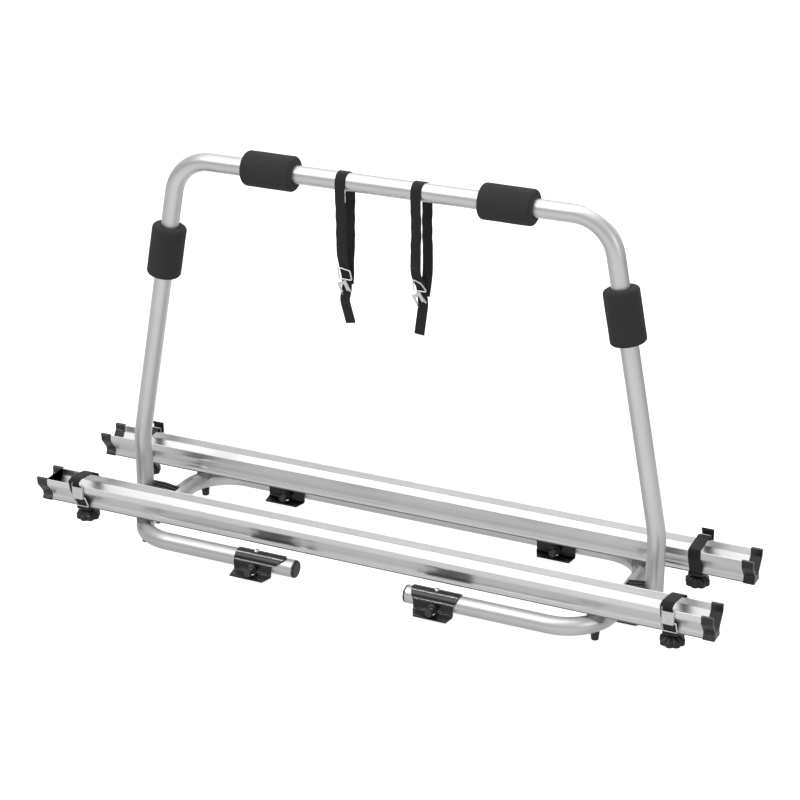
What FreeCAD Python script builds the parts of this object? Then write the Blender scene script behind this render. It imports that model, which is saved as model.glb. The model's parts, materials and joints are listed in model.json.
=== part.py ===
import FreeCAD, Part
import math
import os
from types import SimpleNamespace

import Sketcher
from FreeCAD import Placement, Rotation, Vector

# Drawbar bike rack: a C-shaped base frame of round tube, a tube hoop standing on it, two wheel
# rails across it, four brackets that clamp it to a drawbar, and straps for wheels and frames.
# Millimetres. X runs along the rails, Y across them from front to back, Z up.
# The origin lies on the ground under the middle of the rack, which rests on its four cap nuts.

os.makedirs("parts", exist_ok=True)

DRIVING_SIZES = {
    # round tube of the base frame and the hoop
    "tube_diameter": 32,
    "tube_wall": 2,
    # base frame, measured between tube centres
    "base_length": 902,
    "base_depth": 297,
    "base_bend_radius": 82,
    "front_gap": 220,
    "plug_head_length": 4.5,
    "plug_stem_length": 12,
    "plug_rounding": 3,
    # how far a cutting outline runs past what it cuts
    "cut_margin": 5,
    # wheel rails
    "rail_length": 1300,
    "rail_spacing": 220,
    "rail_height": 47.5,
    "rail_top_width": 55,
    "rail_waist_width": 21.6,
    "rail_foot_width": 26.8,
    "rail_foot_lip": 2,
    "rail_flare_height": 7,
    "rail_waist_height": 13,
    "rail_shoulder_height": 35,
    "rail_wall": 2.5,
    "rail_web": 2.5,
    "trough_floor_height": 11.5,
    "slot_width": 17,
    "slot_mouth": 9,
    "rail_foot_rounding": 0.8,
    "rail_flare_rounding": 3.5,
    "rail_waist_rounding": 12,
    "rail_shoulder_rounding": 8,
    "rail_lip_flat": 0.2,
    "trough_shoulder_rounding": 5.5,
    "trough_floor_rounding": 4,
    # moulded caps on the rail ends
    "cap_length": 20.4,
    "cap_end_wall": 3,
    "cap_skin": 1.2,
    "cap_lip": 1.4,
    "cap_lip_height": 3.5,
    "cap_lip_rounding": 0.9,
    "cap_lip_edge_rounding": 0.5,
    # saddles, bolts and cap nuts that hold the rails
    "saddle_diameter": 30,
    "saddle_crown_gap": 4.5,
    "bolt_diameter": 8,
    "bolt_hole_clearance": 0.2,
    "bolt_head_height": 5,
    "slot_head_length": 14,
    "slot_head_rounding": 1,
    "slot_head_clearance": 0.4,
    "cap_nut_height": 15.5,
    "cap_nut_top_diameter": 16,
    "cap_nut_foot_diameter": 13,
    "cap_nut_floor": 4,
    "cap_nut_rounding": 2,
    # hoop, measured on the tube's centre line
    "hoop_foot_span": 1006,
    "hoop_top_span": 802,
    "hoop_bar_height": 704.4,
    "hoop_kink_height": 161,
    "hoop_foot_height": 14,
    "hoop_kink_radius": 130,
    "hoop_corner_radius": 75.5,
    # moulded feet between the hoop and the base frame
    "foot_length": 90,
    "foot_top_length": 56,
    "foot_height": 54.5,
    "foot_inner_height": 51,
    "foot_inner_reach": 3.5,
    "foot_bottom_height": 4,
    "foot_bottom_slope": 8,
    "foot_top_reach": 12,
    "foot_bottom_rounding": 4,
    "foot_inner_rounding": 3,
    "foot_shoulder_rounding": 1.5,
    "foot_top_rounding": 6,
    "foot_rib_depth": 2,
    "foot_rib_width": 5.2,
    "foot_rib_count": 10,
    "hex_nut_height": 6.5,
    "hex_across_flats": 13,
    # foam pads on the hoop
    "pad_diameter": 62,
    "pad_length": 95,
    "pad_end_rounding": 5,
    "pad_slit_angle": 12,
    "pad_clearance": 0.3,
    "bar_pad_left": 218,
    "bar_pad_right": 224,
    "leg_pad_left_height": 530.6,
    "leg_pad_right_height": 542.3,
    # brackets that clamp the base frame to the drawbar
    "bracket_length": 74,
    "bracket_sheet": 2.5,
    "bracket_clearance": 0.3,
    "left_bracket_inner_flare": 22,
    "right_bracket_inner_flare": 9,
    "right_bracket_outer_flare": 6.5,
    "bracket_wall_drop": 14.5,
    "flange_width": 17,
    "flange_drop": 4,
    "bracket_crease_rounding": 1.5,
    "bracket_inner_rounding": 4,
    "left_flange_inner_cut": 9,
    "right_flange_inner_cut": 7,
    "right_flange_outer_cut": 5.5,
    "flange_cut_inset": 1.7,
    "clamp_bolt_drop": 8,
    "clamp_bolt_reach": 14,
    "boss_diameter": 18,
    "boss_height": 3,
    "boss_relief": 1,
    "front_bracket_left": 185,
    "front_bracket_right": 165,
    "back_bracket_left": 273,
    "back_bracket_right": 273,
    "bolt_end": 3,
    "crown_screw_diameter": 5,
    "crown_screw_head": 10,
    "crown_screw_height": 3.6,
    "crown_screw_rounding": 2.9,
    # wheel straps: carrier, slot bolt, knob and webbing
    "front_strap_left": 561,
    "front_strap_right": 574,
    "back_strap_left": 562,
    "back_strap_right": 545,
    "running_gap": 0.3,
    "carrier_length": 27,
    "carrier_width": 35,
    "carrier_height": 4.5,
    "carrier_rounding": 3,
    "webbing_width": 22,
    "webbing_thickness": 2,
    "webbing_slot_clearance": 0.3,
    "webbing_foot_half": 14.9,
    "webbing_rise": 8,
    "webbing_crown_half": 14.4,
    "webbing_foot_bend": 3,
    "webbing_shoulder_bend": 8,
    "webbing_lip_bend": 5,
    "webbing_crown_bend": 30,
    "carrier_bolt_head_height": 4.8,
    "knob_diameter": 44,
    "knob_height": 12,
    "knob_lobe_radius": 6,
    "knob_lobe_count": 8,
    "knob_core_diameter": 37,
    "knob_collar_diameter": 22,
    "knob_collar_height": 10.5,
    "knob_edge_rounding": 2.2,
    "knob_floor": 4,
    "knob_thread_clearance": 0.08,
    # buckles: a wire ring whose top bar carries a folded lever
    "ring_wire": 2.6,
    "ring_height": 24,
    "ring_corner_radius": 2,
    "buckle_height": 26,
    "lever_width": 22,
    "lever_sheet": 1.3,
    "lever_plate_height": 22,
    "lever_cheek_height": 28,
    "lever_cheek_depth": 0.8,
    "lever_bore_clearance": 0.08,
    "lever_edge_rounding": 1,
    "lever_eye_rounding": 1.4,
    "lever_top_rounding": 0.6,
    # straps that hang from the hoop's bar
    "upper_strap_left": 77,
    "upper_strap_right": 65,
    "upper_webbing_width": 19,
    "upper_join_height": 573,
    "upper_buckle_height": 530,
    "upper_tail_height": 449,
    "upper_join_bend": 8,
    "upper_knee_height": 588,
    "upper_knee_half": 14,
    "upper_eye_height": 0.7,
}


class Size:
    """A length, as a number and as the sheet expression that drives it."""

    def __init__(self, number, text):
        self.number = float(number)
        self.text = text

    def __add__(self, other):
        other = as_size(other)
        if other.text == "0":
            return self
        if self.text == "0":
            return other
        return Size(self.number + other.number, f"({self.text} + {other.text})")

    def __sub__(self, other):
        other = as_size(other)
        if other.text == "0":
            return self
        if self.text == other.text:
            return ZERO
        return Size(self.number - other.number, f"({self.text} - {other.text})")

    def __mul__(self, other):
        other = as_size(other)
        if "0" in (self.text, other.text):
            return ZERO
        return Size(self.number * other.number, f"({self.text} * {other.text})")

    def __truediv__(self, other):
        other = as_size(other)
        if self.text == "0":
            return ZERO
        return Size(self.number / other.number, f"({self.text} / {other.text})")

    def __neg__(self):
        return self * -1

    def __radd__(self, other):
        return as_size(other) + self

    def __rsub__(self, other):
        return as_size(other) - self

    def __rmul__(self, other):
        return as_size(other) * self

    def magnitude(self):
        if self.text == "0":
            return ZERO
        return Size(abs(self.number), f"abs({self.text})")

    def root(self):
        return Size(math.sqrt(self.number), f"sqrt({self.text})")


def as_size(value):
    if isinstance(value, Size):
        return value
    if value == 0:
        return Size(0, "0")
    return Size(value, f"({value})")


ZERO = as_size(0)


def hypotenuse(run, rise):
    if run.text == "0":
        return rise.magnitude()
    if rise.text == "0":
        return run.magnitude()
    return (run * run + rise * rise).root()


def make_sheet(document, driving_sizes):
    """Writes each driving size to a cell with an alias, and gives the sizes back by name."""
    sheet = document.addObject("Spreadsheet::Sheet", "sizes")
    named = {}
    for row, (name, number) in enumerate(driving_sizes.items(), 1):
        sheet.set(f"A{row}", name)
        sheet.set(f"B{row}", str(number))
        sheet.setAlias(f"B{row}", name)
        named[name] = Size(number, f"sizes.{name}")
    document.recompute()
    return SimpleNamespace(**named)


doc = FreeCAD.newDocument("bike_rack")
s = make_sheet(doc, DRIVING_SIZES)
sub_parts = []


# Sizes that several pieces share

tube_radius = s.tube_diameter / 2
tube_bore_radius = tube_radius - s.tube_wall
tube_height = s.cap_nut_height + tube_radius
rail_base_height = tube_height + tube_radius + s.saddle_crown_gap
bolt_radius = s.bolt_diameter / 2
bolt_hole_radius = bolt_radius + s.bolt_hole_clearance
slot_roof_height = s.trough_floor_height - s.rail_web
side_tube_x = s.base_length / 2
front_tube_y = s.base_depth / 2
rail_y = s.rail_spacing / 2
hoop_foot_x = s.hoop_foot_span / 2

# The rails cross the base frame inside its bends, so their bolts stand on the bend's arc.
bend_centre_x = side_tube_x - s.base_bend_radius
bend_centre_y = front_tube_y - s.base_bend_radius
crossing_y = rail_y - bend_centre_y
crossing_run = (s.base_bend_radius * s.base_bend_radius - crossing_y * crossing_y).root()
crossing_x = bend_centre_x + crossing_run

# The bracket grips the tube all round its upper half. Its clamp bolt stands below the tube's
# middle, and the upper edge of its end bears on the tube.
bracket_bore = tube_radius + s.bracket_clearance
bracket_outer = bracket_bore + s.bracket_sheet
clamp_edge_drop = s.clamp_bolt_drop - bolt_radius
clamp_tip = (tube_radius * tube_radius - clamp_edge_drop * clamp_edge_drop).root()

# Webbing of a wheel strap, in the rail's own section: z from the rail's base. It rises from the
# carrier to the rail's shoulder on a slant, and upright from there to the lip.
carrier_top = -s.running_gap
carrier_bottom = carrier_top - s.carrier_height
knob_top = carrier_bottom - s.running_gap
webbing_wall_y = s.rail_top_width / 2 + s.running_gap + s.webbing_thickness / 2
webbing_face_y = webbing_wall_y + s.webbing_thickness / 2
webbing_start = carrier_top + s.webbing_thickness / 2
slant_run = webbing_wall_y - s.webbing_foot_half
slant_rise = s.rail_shoulder_height - webbing_start
slant_length = hypotenuse(slant_run, slant_rise)

# The ring's top bar lies clear of the slanted webbing by the lever's eye and a gap.
lever_eye = s.ring_wire / 2 + s.lever_sheet / 4
bar_offset = s.webbing_thickness / 2 + s.running_gap + lever_eye
bar_webbing_y = webbing_wall_y - slant_run * (s.rail_shoulder_height - s.buckle_height) / slant_rise
buckle_bar_y = bar_webbing_y + bar_offset * slant_rise / slant_length
buckle_bar_z = s.buckle_height - bar_offset * slant_run / slant_length
lever_back = webbing_face_y + s.running_gap - buckle_bar_y

# The ring hangs along the webbing and leans in until its bottom bar lies on it: its tilt's
# tangent is the sum of the webbing's slant and that lean.
ring_lean = (bar_offset - s.webbing_thickness / 2 - s.ring_wire / 2) / s.ring_height
ring_swing = slant_run / slant_rise + ring_lean
ring_drop = 1 - slant_run / slant_rise * ring_lean


# Helpers for placing, sketching and features

def finish(part):
    doc.recompute()
    sub_parts.append(part)
    return part


def place(part, x=ZERO, y=ZERO, z=ZERO, axis=(0, 0, 1), degrees=0.0):
    """Puts a part at a point that the sheet drives, turned about an axis."""
    x, y, z = as_size(x), as_size(y), as_size(z)
    turn = Rotation(Vector(*axis), degrees)
    part.Placement = Placement(Vector(x.number, y.number, z.number), turn)
    for name, size in (("x", x), ("y", y), ("z", z)):
        if size.text != "0":
            part.setExpression(f"Placement.Base.{name}", size.text)
    return part


def tilt(part, axis, sign, run, rise, base=0):
    """Turns a part by a base angle plus the angle whose tangent is run over rise."""
    run, rise = as_size(run), as_size(rise)
    angle = base + sign * math.degrees(math.atan2(run.number, rise.number))
    part.Placement = Placement(part.Placement.Base, Rotation(Vector(*axis), angle))
    expression = f"{base} deg + {sign} * atan({run.text} / {rise.text})"
    part.setExpression("Placement.Rotation.Angle", expression)
    return part


def bind(feature, name, size):
    size = as_size(size)
    setattr(feature, name, size.number)
    feature.setExpression(name, size.text)


def new_body(label):
    body = doc.addObject("PartDesign::Body", label)
    body.Label = label
    return body


def new_sketch(body, plane_role, offset=ZERO):
    """A sketch on one of the body's own origin planes, moved along the plane's normal."""
    sketch = body.newObject("Sketcher::SketchObject", "Sketch")
    plane = next(item for item in body.Origin.OriginFeatures if item.Role == plane_role)
    sketch.AttachmentSupport = [(plane, "")]
    sketch.MapMode = "FlatFace"
    offset = as_size(offset)
    if offset.text != "0":
        sketch.AttachmentOffset = Placement(Vector(0, 0, offset.number), Rotation())
        sketch.setExpression("AttachmentOffset.Base.z", offset.text)
    return sketch


def constrain(sketch, rules):
    """Adds (constraint, size) rules at once; a size of None is a constraint without one."""
    indices = sketch.addConstraint([rule for rule, _ in rules])
    for index, (_, size) in zip(indices, rules):
        if size is not None and size.text != "0":
            sketch.setExpression(f"Constraints[{index}]", size.text)


def pin_point(geometry, position, point):
    """Holds one end or centre of a sketch element at a point, measured from the origin."""
    x, y = point
    return [(Sketcher.Constraint("DistanceX", -1, 1, geometry, position, x.number), x),
            (Sketcher.Constraint("DistanceY", -1, 1, geometry, position, y.number), y)]


def fix_radius(geometry, radius):
    return [(Sketcher.Constraint("Radius", geometry, radius.number), radius)]


def circle(sketch, x, y, radius):
    x, y, radius = as_size(x), as_size(y), as_size(radius)
    centre = Vector(x.number, y.number, 0)
    index = sketch.addGeometry(Part.Circle(centre, Vector(0, 0, 1), radius.number))
    constrain(sketch, pin_point(index, 3, (x, y)) + fix_radius(index, radius))


def tangent_points(before, corner, after, radius):
    """Where an arc of the given radius leaves the two lines that meet at a corner."""
    run_in = (corner[0] - before[0], corner[1] - before[1])
    run_out = (after[0] - corner[0], after[1] - corner[1])
    length_in = hypotenuse(*run_in)
    length_out = hypotenuse(*run_out)
    dot = run_in[0] * run_out[0] + run_in[1] * run_out[1]
    cross = run_in[0] * run_out[1] - run_in[1] * run_out[0]
    trim = radius * (length_in * length_out - dot) / cross.magnitude()
    arrive = tuple(c - r * trim / length_in for c, r in zip(corner, run_in))
    leave = tuple(c + r * trim / length_out for c, r in zip(corner, run_out))
    return arrive, leave, cross.number > 0


def vector(point):
    return Vector(point[0].number, point[1].number, 0)


def add_line(sketch, start, end):
    return sketch.addGeometry(Part.LineSegment(vector(start), vector(end)))


def add_arc(sketch, start, end, radius, turns_left):
    """An arc from start to end, and which of its ends the outline reaches first."""
    first, last = vector(start), vector(end)
    middle = (first + last) * 0.5
    half = (last - first).Length / 2
    across = Vector(first.y - last.y, last.x - first.x, 0).normalize()
    height = math.sqrt(max(radius.number ** 2 - half ** 2, 0))
    centre = middle + across * (height if turns_left else -height)
    low, high = (first, last) if turns_left else (last, first)
    angles = [math.atan2(p.y - centre.y, p.x - centre.x) for p in (low, high)]
    if angles[1] < angles[0]:
        angles[1] += 2 * math.pi
    ring = Part.Circle(centre, Vector(0, 0, 1), radius.number)
    return sketch.addGeometry(Part.ArcOfCircle(ring, angles[0], angles[1]))


def outline(sketch, corners, closed=True):
    """Lines through (x, y) or (x, y, radius) corners, rounded by tangent arcs."""
    corners = [tuple(as_size(value) for value in corner) for corner in corners]
    count = len(corners)
    reached = []
    for index, corner in enumerate(corners):
        point = corner[:2]
        inside = closed or 0 < index < count - 1
        if len(corner) == 3 and inside:
            before = corners[index - 1][:2]
            after = corners[(index + 1) % count][:2]
            arrive, leave, turns_left = tangent_points(before, point, after, corner[2])
            reached.append((arrive, leave, corner[2], turns_left))
        else:
            reached.append((point, point, None, None))

    # Each element is (index, first end, last end, first point).
    elements = []
    rules = []
    for index, (arrive, leave, radius, turns_left) in enumerate(reached):
        if radius is not None:
            arc = add_arc(sketch, arrive, leave, radius, turns_left)
            ends = (1, 2) if turns_left else (2, 1)
            elements.append((arc, *ends, arrive))
            rules += fix_radius(arc, radius)
        if not closed and index == count - 1:
            break
        target = reached[(index + 1) % count][0]
        if (vector(target) - vector(leave)).Length > 1e-6:
            elements.append((add_line(sketch, leave, target), 1, 2, leave))

    for index, (geometry, first, last, point) in enumerate(elements):
        rules += pin_point(geometry, first, point)
        if closed or index < len(elements) - 1:
            following = elements[(index + 1) % len(elements)]
            joint = Sketcher.Constraint("Coincident", geometry, last, following[0], following[1])
            rules.append((joint, None))
    if not closed:
        geometry, _, last, _ = elements[-1]
        rules += pin_point(geometry, last, corners[-1][:2])
    constrain(sketch, rules)


def mirrored(corners):
    """A whole outline from its right half, which ends where the left half begins."""
    left = [(-as_size(corner[0]), *corner[1:]) for corner in reversed(corners)]
    return corners + left


def rectangle(sketch, x0, y0, x1, y1, radius=None):
    points = [(x0, y0), (x1, y0), (x1, y1), (x0, y1)]
    if radius is not None:
        points = [(x, y, radius) for x, y in points]
    outline(sketch, points)


def pad(body, sketch, length, side="One side", reverse=False):
    feature = body.newObject("PartDesign::Pad", "Pad")
    feature.Profile = sketch
    feature.SideType = side
    feature.Reversed = reverse
    bind(feature, "Length", length)
    body.Tip = feature
    return feature


def pocket(body, sketch, length=None, side="Symmetric", reverse=False):
    """Cuts the sketch through everything, or to a length."""
    feature = body.newObject("PartDesign::Pocket", "Pocket")
    feature.Profile = sketch
    feature.SideType = side
    feature.Reversed = reverse
    if length is None:
        feature.Type = "ThroughAll"
        feature.Type2 = "ThroughAll"
    else:
        bind(feature, "Length", length)
    body.Tip = feature
    return feature


def revolve(body, sketch, axis_role, degrees=360.0):
    feature = body.newObject("PartDesign::Revolution", "Revolution")
    feature.Profile = sketch
    axis = next(item for item in body.Origin.OriginFeatures if item.Role == axis_role)
    feature.ReferenceAxis = (axis, [""])
    feature.Angle = degrees
    body.Tip = feature
    return feature


def pipe(body, profile, path):
    feature = body.newObject("PartDesign::AdditivePipe", "Pipe")
    feature.Profile = profile
    feature.Spine = (path, [])
    body.Tip = feature
    return feature


def hexagon(sketch, x, y, across_flats):
    """A hexagon with two flats upright."""
    half = across_flats / 2
    point = across_flats / math.sqrt(3)
    corners = [(0, point), (-half, point / 2), (-half, -point / 2),
               (0, -point), (half, -point / 2), (half, point / 2)]
    outline(sketch, [(as_size(dx) + x, as_size(dy) + y) for dx, dy in corners])


def group(label, bodies):
    """One sub-part of several like solids."""
    compound = doc.addObject("Part::Compound", label)
    compound.Label = label
    compound.Links = bodies
    return finish(compound)


SIDES = (("left", -1), ("right", 1))
ENDS = (("front", -1), ("back", 1))


# Base frame

def make_base_tube():
    """One round tube bent into a rectangle with rounded corners, open in the middle of the front."""
    body = new_body("base_tube")
    start_x = -s.front_gap / 2
    radius = s.base_bend_radius
    path = new_sketch(body, "XY_Plane")
    outline(path, [(start_x, -front_tube_y),
                   (-side_tube_x, -front_tube_y, radius),
                   (-side_tube_x, front_tube_y, radius),
                   (side_tube_x, front_tube_y, radius),
                   (side_tube_x, -front_tube_y, radius),
                   (-start_x, -front_tube_y)], closed=False)
    section = new_sketch(body, "YZ_Plane", offset=start_x)
    circle(section, -front_tube_y, 0, tube_radius)
    circle(section, -front_tube_y, 0, tube_bore_radius)
    pipe(body, section, path)

    rail_holes = new_sketch(body, "XY_Plane")
    for _, side in SIDES:
        for _, end in ENDS:
            circle(rail_holes, crossing_x * side, rail_y * end, bolt_hole_radius)
    pocket(body, rail_holes)

    foot_holes = new_sketch(body, "YZ_Plane")
    circle(foot_holes, 0, 0, bolt_hole_radius)
    pocket(body, foot_holes)
    place(body, z=tube_height)
    finish(body)


def make_base_tube_plugs():
    """A moulded plug in each open end of the base tube."""
    plugs = []
    for name, side in SIDES:
        body = new_body(f"base_tube_plug_{name}")
        half = new_sketch(body, "XY_Plane")
        outline(half, [(-s.plug_stem_length, 0),
                       (s.plug_head_length, 0),
                       (s.plug_head_length, tube_radius, s.plug_rounding),
                       (0, tube_radius),
                       (0, tube_bore_radius),
                       (-s.plug_stem_length, tube_bore_radius)])
        revolve(body, half, "X_Axis")
        turn = 0 if side < 0 else 180
        place(body, s.front_gap / 2 * side, -front_tube_y, tube_height, degrees=turn)
        plugs.append(body)
    group("base_tube_plugs", plugs)


# Hoop

def hoop_path(sketch):
    """The hoop's centre line: upright legs that kink inward, then a bar between round corners."""
    top_x = s.hoop_top_span / 2
    half = [(-hoop_foot_x, s.hoop_foot_height),
            (-hoop_foot_x, s.hoop_kink_height, s.hoop_kink_radius),
            (-top_x, s.hoop_bar_height, s.hoop_corner_radius)]
    right = [(-x, *rest) for x, *rest in reversed(half)]
    outline(sketch, half + right, closed=False)


def make_hoop_tube():
    body = new_body("hoop_tube")
    path = new_sketch(body, "XZ_Plane")
    hoop_path(path)
    section = new_sketch(body, "XY_Plane", offset=s.hoop_foot_height)
    circle(section, -hoop_foot_x, 0, tube_radius)
    circle(section, -hoop_foot_x, 0, tube_bore_radius)
    pipe(body, section, path)
    holes = new_sketch(body, "YZ_Plane")
    circle(holes, 0, tube_height, bolt_hole_radius)
    pocket(body, holes)
    finish(body)


def foot_section(inset):
    """The foot's outline across the side tube, drawn for the left foot and shrunk by an inset."""
    inner_x = hoop_foot_x - side_tube_x + s.foot_inner_reach - inset
    top = s.foot_height - inset
    inner_top = s.foot_inner_height - inset
    bottom = s.foot_bottom_height + inset
    return [(0, bottom + s.foot_bottom_slope),
            (tube_radius, bottom, s.foot_bottom_rounding),
            (inner_x, bottom, s.foot_inner_rounding),
            (inner_x, inner_top, s.foot_shoulder_rounding),
            (tube_radius + s.foot_top_reach, top, s.foot_top_rounding),
            (0, top)]


def make_hoop_foot(name, side):
    """A ribbed moulding that cups the hoop's leg and the outer half of the side tube."""
    body = new_body(f"hoop_foot_{name}")
    core = new_sketch(body, "XZ_Plane")
    outline(core, foot_section(s.foot_rib_depth))
    pad(body, core, s.foot_length, side="Symmetric")

    rib = new_sketch(body, "XZ_Plane", offset=(s.foot_length - s.foot_rib_width) / 2)
    outline(rib, foot_section(ZERO))
    rib_pad = pad(body, rib, s.foot_rib_width, side="Symmetric")
    doc.recompute()
    ribs = body.newObject("PartDesign::LinearPattern", "Ribs")
    ribs.Originals = [rib_pad]
    axis = next(item for item in body.Origin.OriginFeatures if item.Role == "Y_Axis")
    ribs.Direction = (axis, [""])
    bind(ribs, "Length", s.foot_length - s.foot_rib_width)
    ribs.Occurrences = int(s.foot_rib_count.number)
    ribs.setExpression("Occurrences", s.foot_rib_count.text)
    body.Tip = ribs

    # Seen from the side, both ends lean in from just above the bottom to the shorter top.
    past = s.foot_length / 2 + s.cut_margin
    slope_start = s.foot_bottom_height + s.foot_bottom_slope
    ends = new_sketch(body, "YZ_Plane")
    for end in (-1, 1):
        outline(ends, [(s.foot_length / 2 * end, slope_start), (past * end, slope_start),
                       (past * end, s.foot_height), (s.foot_top_length / 2 * end, s.foot_height)])
    pocket(body, ends)

    tube_bore = new_sketch(body, "XZ_Plane")
    circle(tube_bore, hoop_foot_x - side_tube_x, tube_height, tube_radius)
    pocket(body, tube_bore)
    leg_bore = new_sketch(body, "XY_Plane")
    circle(leg_bore, 0, 0, tube_radius)
    pocket(body, leg_bore)
    bolt_bores = new_sketch(body, "YZ_Plane")
    circle(bolt_bores, 0, tube_height, bolt_hole_radius)
    pocket(body, bolt_bores)
    place(body, hoop_foot_x * side, 0, 0, degrees=0 if side < 0 else 180)
    finish(body)


def make_hex_bolt(label, length):
    """A bolt along +X whose head lies behind the origin."""
    body = new_body(label)
    head = new_sketch(body, "YZ_Plane")
    hexagon(head, 0, 0, s.hex_across_flats)
    pad(body, head, s.bolt_head_height, reverse=True)
    shank = new_sketch(body, "YZ_Plane")
    circle(shank, 0, 0, bolt_radius)
    pad(body, shank, length)
    return body


def make_hex_nut(label):
    """A nut along +X from the origin."""
    body = new_body(label)
    ring = new_sketch(body, "YZ_Plane")
    hexagon(ring, 0, 0, s.hex_across_flats)
    circle(ring, 0, 0, bolt_radius)
    pad(body, ring, s.hex_nut_height)
    return body


def make_hoop_foot_bolts():
    """One bolt through each leg and foot and the side tube, its nut on the tube's inner side."""
    solids = []
    foot_reach = hoop_foot_x - side_tube_x + tube_radius
    bolt_length = tube_radius + foot_reach + s.hex_nut_height + s.bolt_end
    for name, side in SIDES:
        turn = 0 if side < 0 else 180
        bolt = make_hex_bolt(f"hoop_foot_bolt_{name}", bolt_length)
        place(bolt, (hoop_foot_x + tube_radius) * side, 0, tube_height, degrees=turn)
        nut = make_hex_nut(f"hoop_foot_nut_{name}")
        place(nut, (hoop_foot_x - foot_reach) * side, 0, tube_height, degrees=turn)
        solids += [bolt, nut]
    group("hoop_foot_bolts", solids)


# Wheel rails

def rail_profile(skin=ZERO):
    """The right half of the rail's outer wall, foot to top, and what the inner wall needs."""
    foot_x = s.rail_foot_width / 2 + skin
    waist_x = s.rail_waist_width / 2 + skin
    top_x = s.rail_top_width / 2 + skin
    return [(foot_x, -skin),
            (foot_x, s.rail_foot_lip, s.rail_foot_rounding),
            (waist_x, s.rail_flare_height, s.rail_flare_rounding),
            (waist_x, s.rail_waist_height, s.rail_waist_rounding),
            (top_x, s.rail_shoulder_height, s.rail_shoulder_rounding)]


def trough_profile(skin=ZERO):
    """The right half of the trough's inner face, top to floor, at a wall from the outer face."""
    wall = s.rail_wall + skin
    top_x = s.rail_top_width / 2
    waist_x = s.rail_waist_width / 2
    run = top_x - waist_x
    rise = s.rail_shoulder_height - s.rail_waist_height
    slope = hypotenuse(run, rise)
    shoulder = s.rail_shoulder_height + wall * (slope - rise) / run
    floor = s.trough_floor_height + skin
    floor_x = waist_x - (wall * slope - run * (floor - s.rail_waist_height)) / rise
    return [(top_x - wall, shoulder, s.trough_shoulder_rounding),
            (floor_x, floor, s.trough_floor_rounding)]


def rail_section():
    """A trough on a waisted foot, with a slot along the underside for bolt heads."""
    top_x = s.rail_top_width / 2
    lip = (s.rail_wall - s.rail_lip_flat) / 2
    right = rail_profile()
    right += [(top_x, s.rail_height, lip), (top_x - s.rail_wall, s.rail_height, lip)]
    right += trough_profile()
    mouth = s.slot_mouth / 2
    slot_x = s.slot_width / 2
    slot = [(-mouth, 0), (-mouth, s.rail_wall), (-slot_x, s.rail_wall), (-slot_x, slot_roof_height),
            (slot_x, slot_roof_height), (slot_x, s.rail_wall), (mouth, s.rail_wall), (mouth, 0)]
    return mirrored(right) + slot


def make_wheel_rail(name, end):
    body = new_body(f"wheel_rail_{name}")
    section = new_sketch(body, "YZ_Plane")
    outline(section, rail_section())
    pad(body, section, s.rail_length - s.cap_end_wall * 2, side="Symmetric")
    place(body, 0, rail_y * end, rail_base_height)
    finish(body)


def make_rail_cap(end_name, end, side_name, side):
    """A moulded collar that wraps the rail's end inside and out, with a lip along its top."""
    body = new_body(f"rail_cap_{end_name}_{side_name}")
    top_x = s.rail_top_width / 2 + s.cap_skin
    inner_x = s.rail_top_width / 2 - s.rail_wall - s.cap_skin
    lip_top = s.rail_height + s.cap_skin
    lip_bottom = lip_top - s.cap_lip_height
    right = rail_profile(s.cap_skin)
    right += [(top_x, lip_bottom),
              (top_x + s.cap_lip, lip_bottom, s.cap_lip_edge_rounding),
              (top_x + s.cap_lip, lip_top, s.cap_lip_rounding),
              (inner_x, lip_top, s.cap_lip_rounding)]
    right += trough_profile(s.cap_skin)
    shell = new_sketch(body, "YZ_Plane")
    outline(shell, mirrored(right))
    pad(body, shell, s.cap_length, reverse=True)
    recess = new_sketch(body, "YZ_Plane", offset=-s.cap_end_wall)
    outline(recess, rail_section())
    pocket(body, recess, s.cap_length, side="One side")
    turn = 0 if side > 0 else 180
    place(body, s.rail_length / 2 * side, rail_y * end, rail_base_height, degrees=turn)
    finish(body)


def make_rail_saddle(end_name, end, side_name, side):
    """A round spacer between rail and base tube, hollowed to sit on the tube's bend."""
    label = f"rail_saddle_{end_name}_{side_name}"
    height = rail_base_height - tube_height
    block = doc.addObject("Part::Cylinder", f"{label}_block")
    bind(block, "Radius", s.saddle_diameter / 2)
    bind(block, "Height", height)
    bore = doc.addObject("Part::Cylinder", f"{label}_bore")
    bind(bore, "Radius", bolt_hole_radius)
    bind(bore, "Height", height)
    bend = doc.addObject("Part::Torus", f"{label}_bend")
    bind(bend, "Radius1", s.base_bend_radius)
    bind(bend, "Radius2", tube_radius)
    place(bend, -crossing_run * side, -crossing_y * end)
    hollowed = doc.addObject("Part::Cut", f"{label}_hollowed")
    hollowed.Base = block
    hollowed.Tool = bend
    saddle = doc.addObject("Part::Cut", label)
    saddle.Base = hollowed
    saddle.Tool = bore
    saddle.Label = label
    place(saddle, crossing_x * side, rail_y * end, tube_height)
    finish(saddle)


def make_slot_bolt(label, head_bottom, head_height, head_width, length):
    """A bolt that hangs from a flat head in the rail's slot; z runs from the rail's base."""
    body = new_body(label)
    head = new_sketch(body, "XY_Plane", offset=head_bottom)
    half_length = s.slot_head_length / 2
    half_width = head_width / 2
    rectangle(head, -half_length, -half_width, half_length, half_width, s.slot_head_rounding)
    pad(body, head, head_height)
    shank = new_sketch(body, "XY_Plane", offset=head_bottom)
    circle(shank, 0, 0, bolt_radius)
    pad(body, shank, length, reverse=True)
    return body


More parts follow.
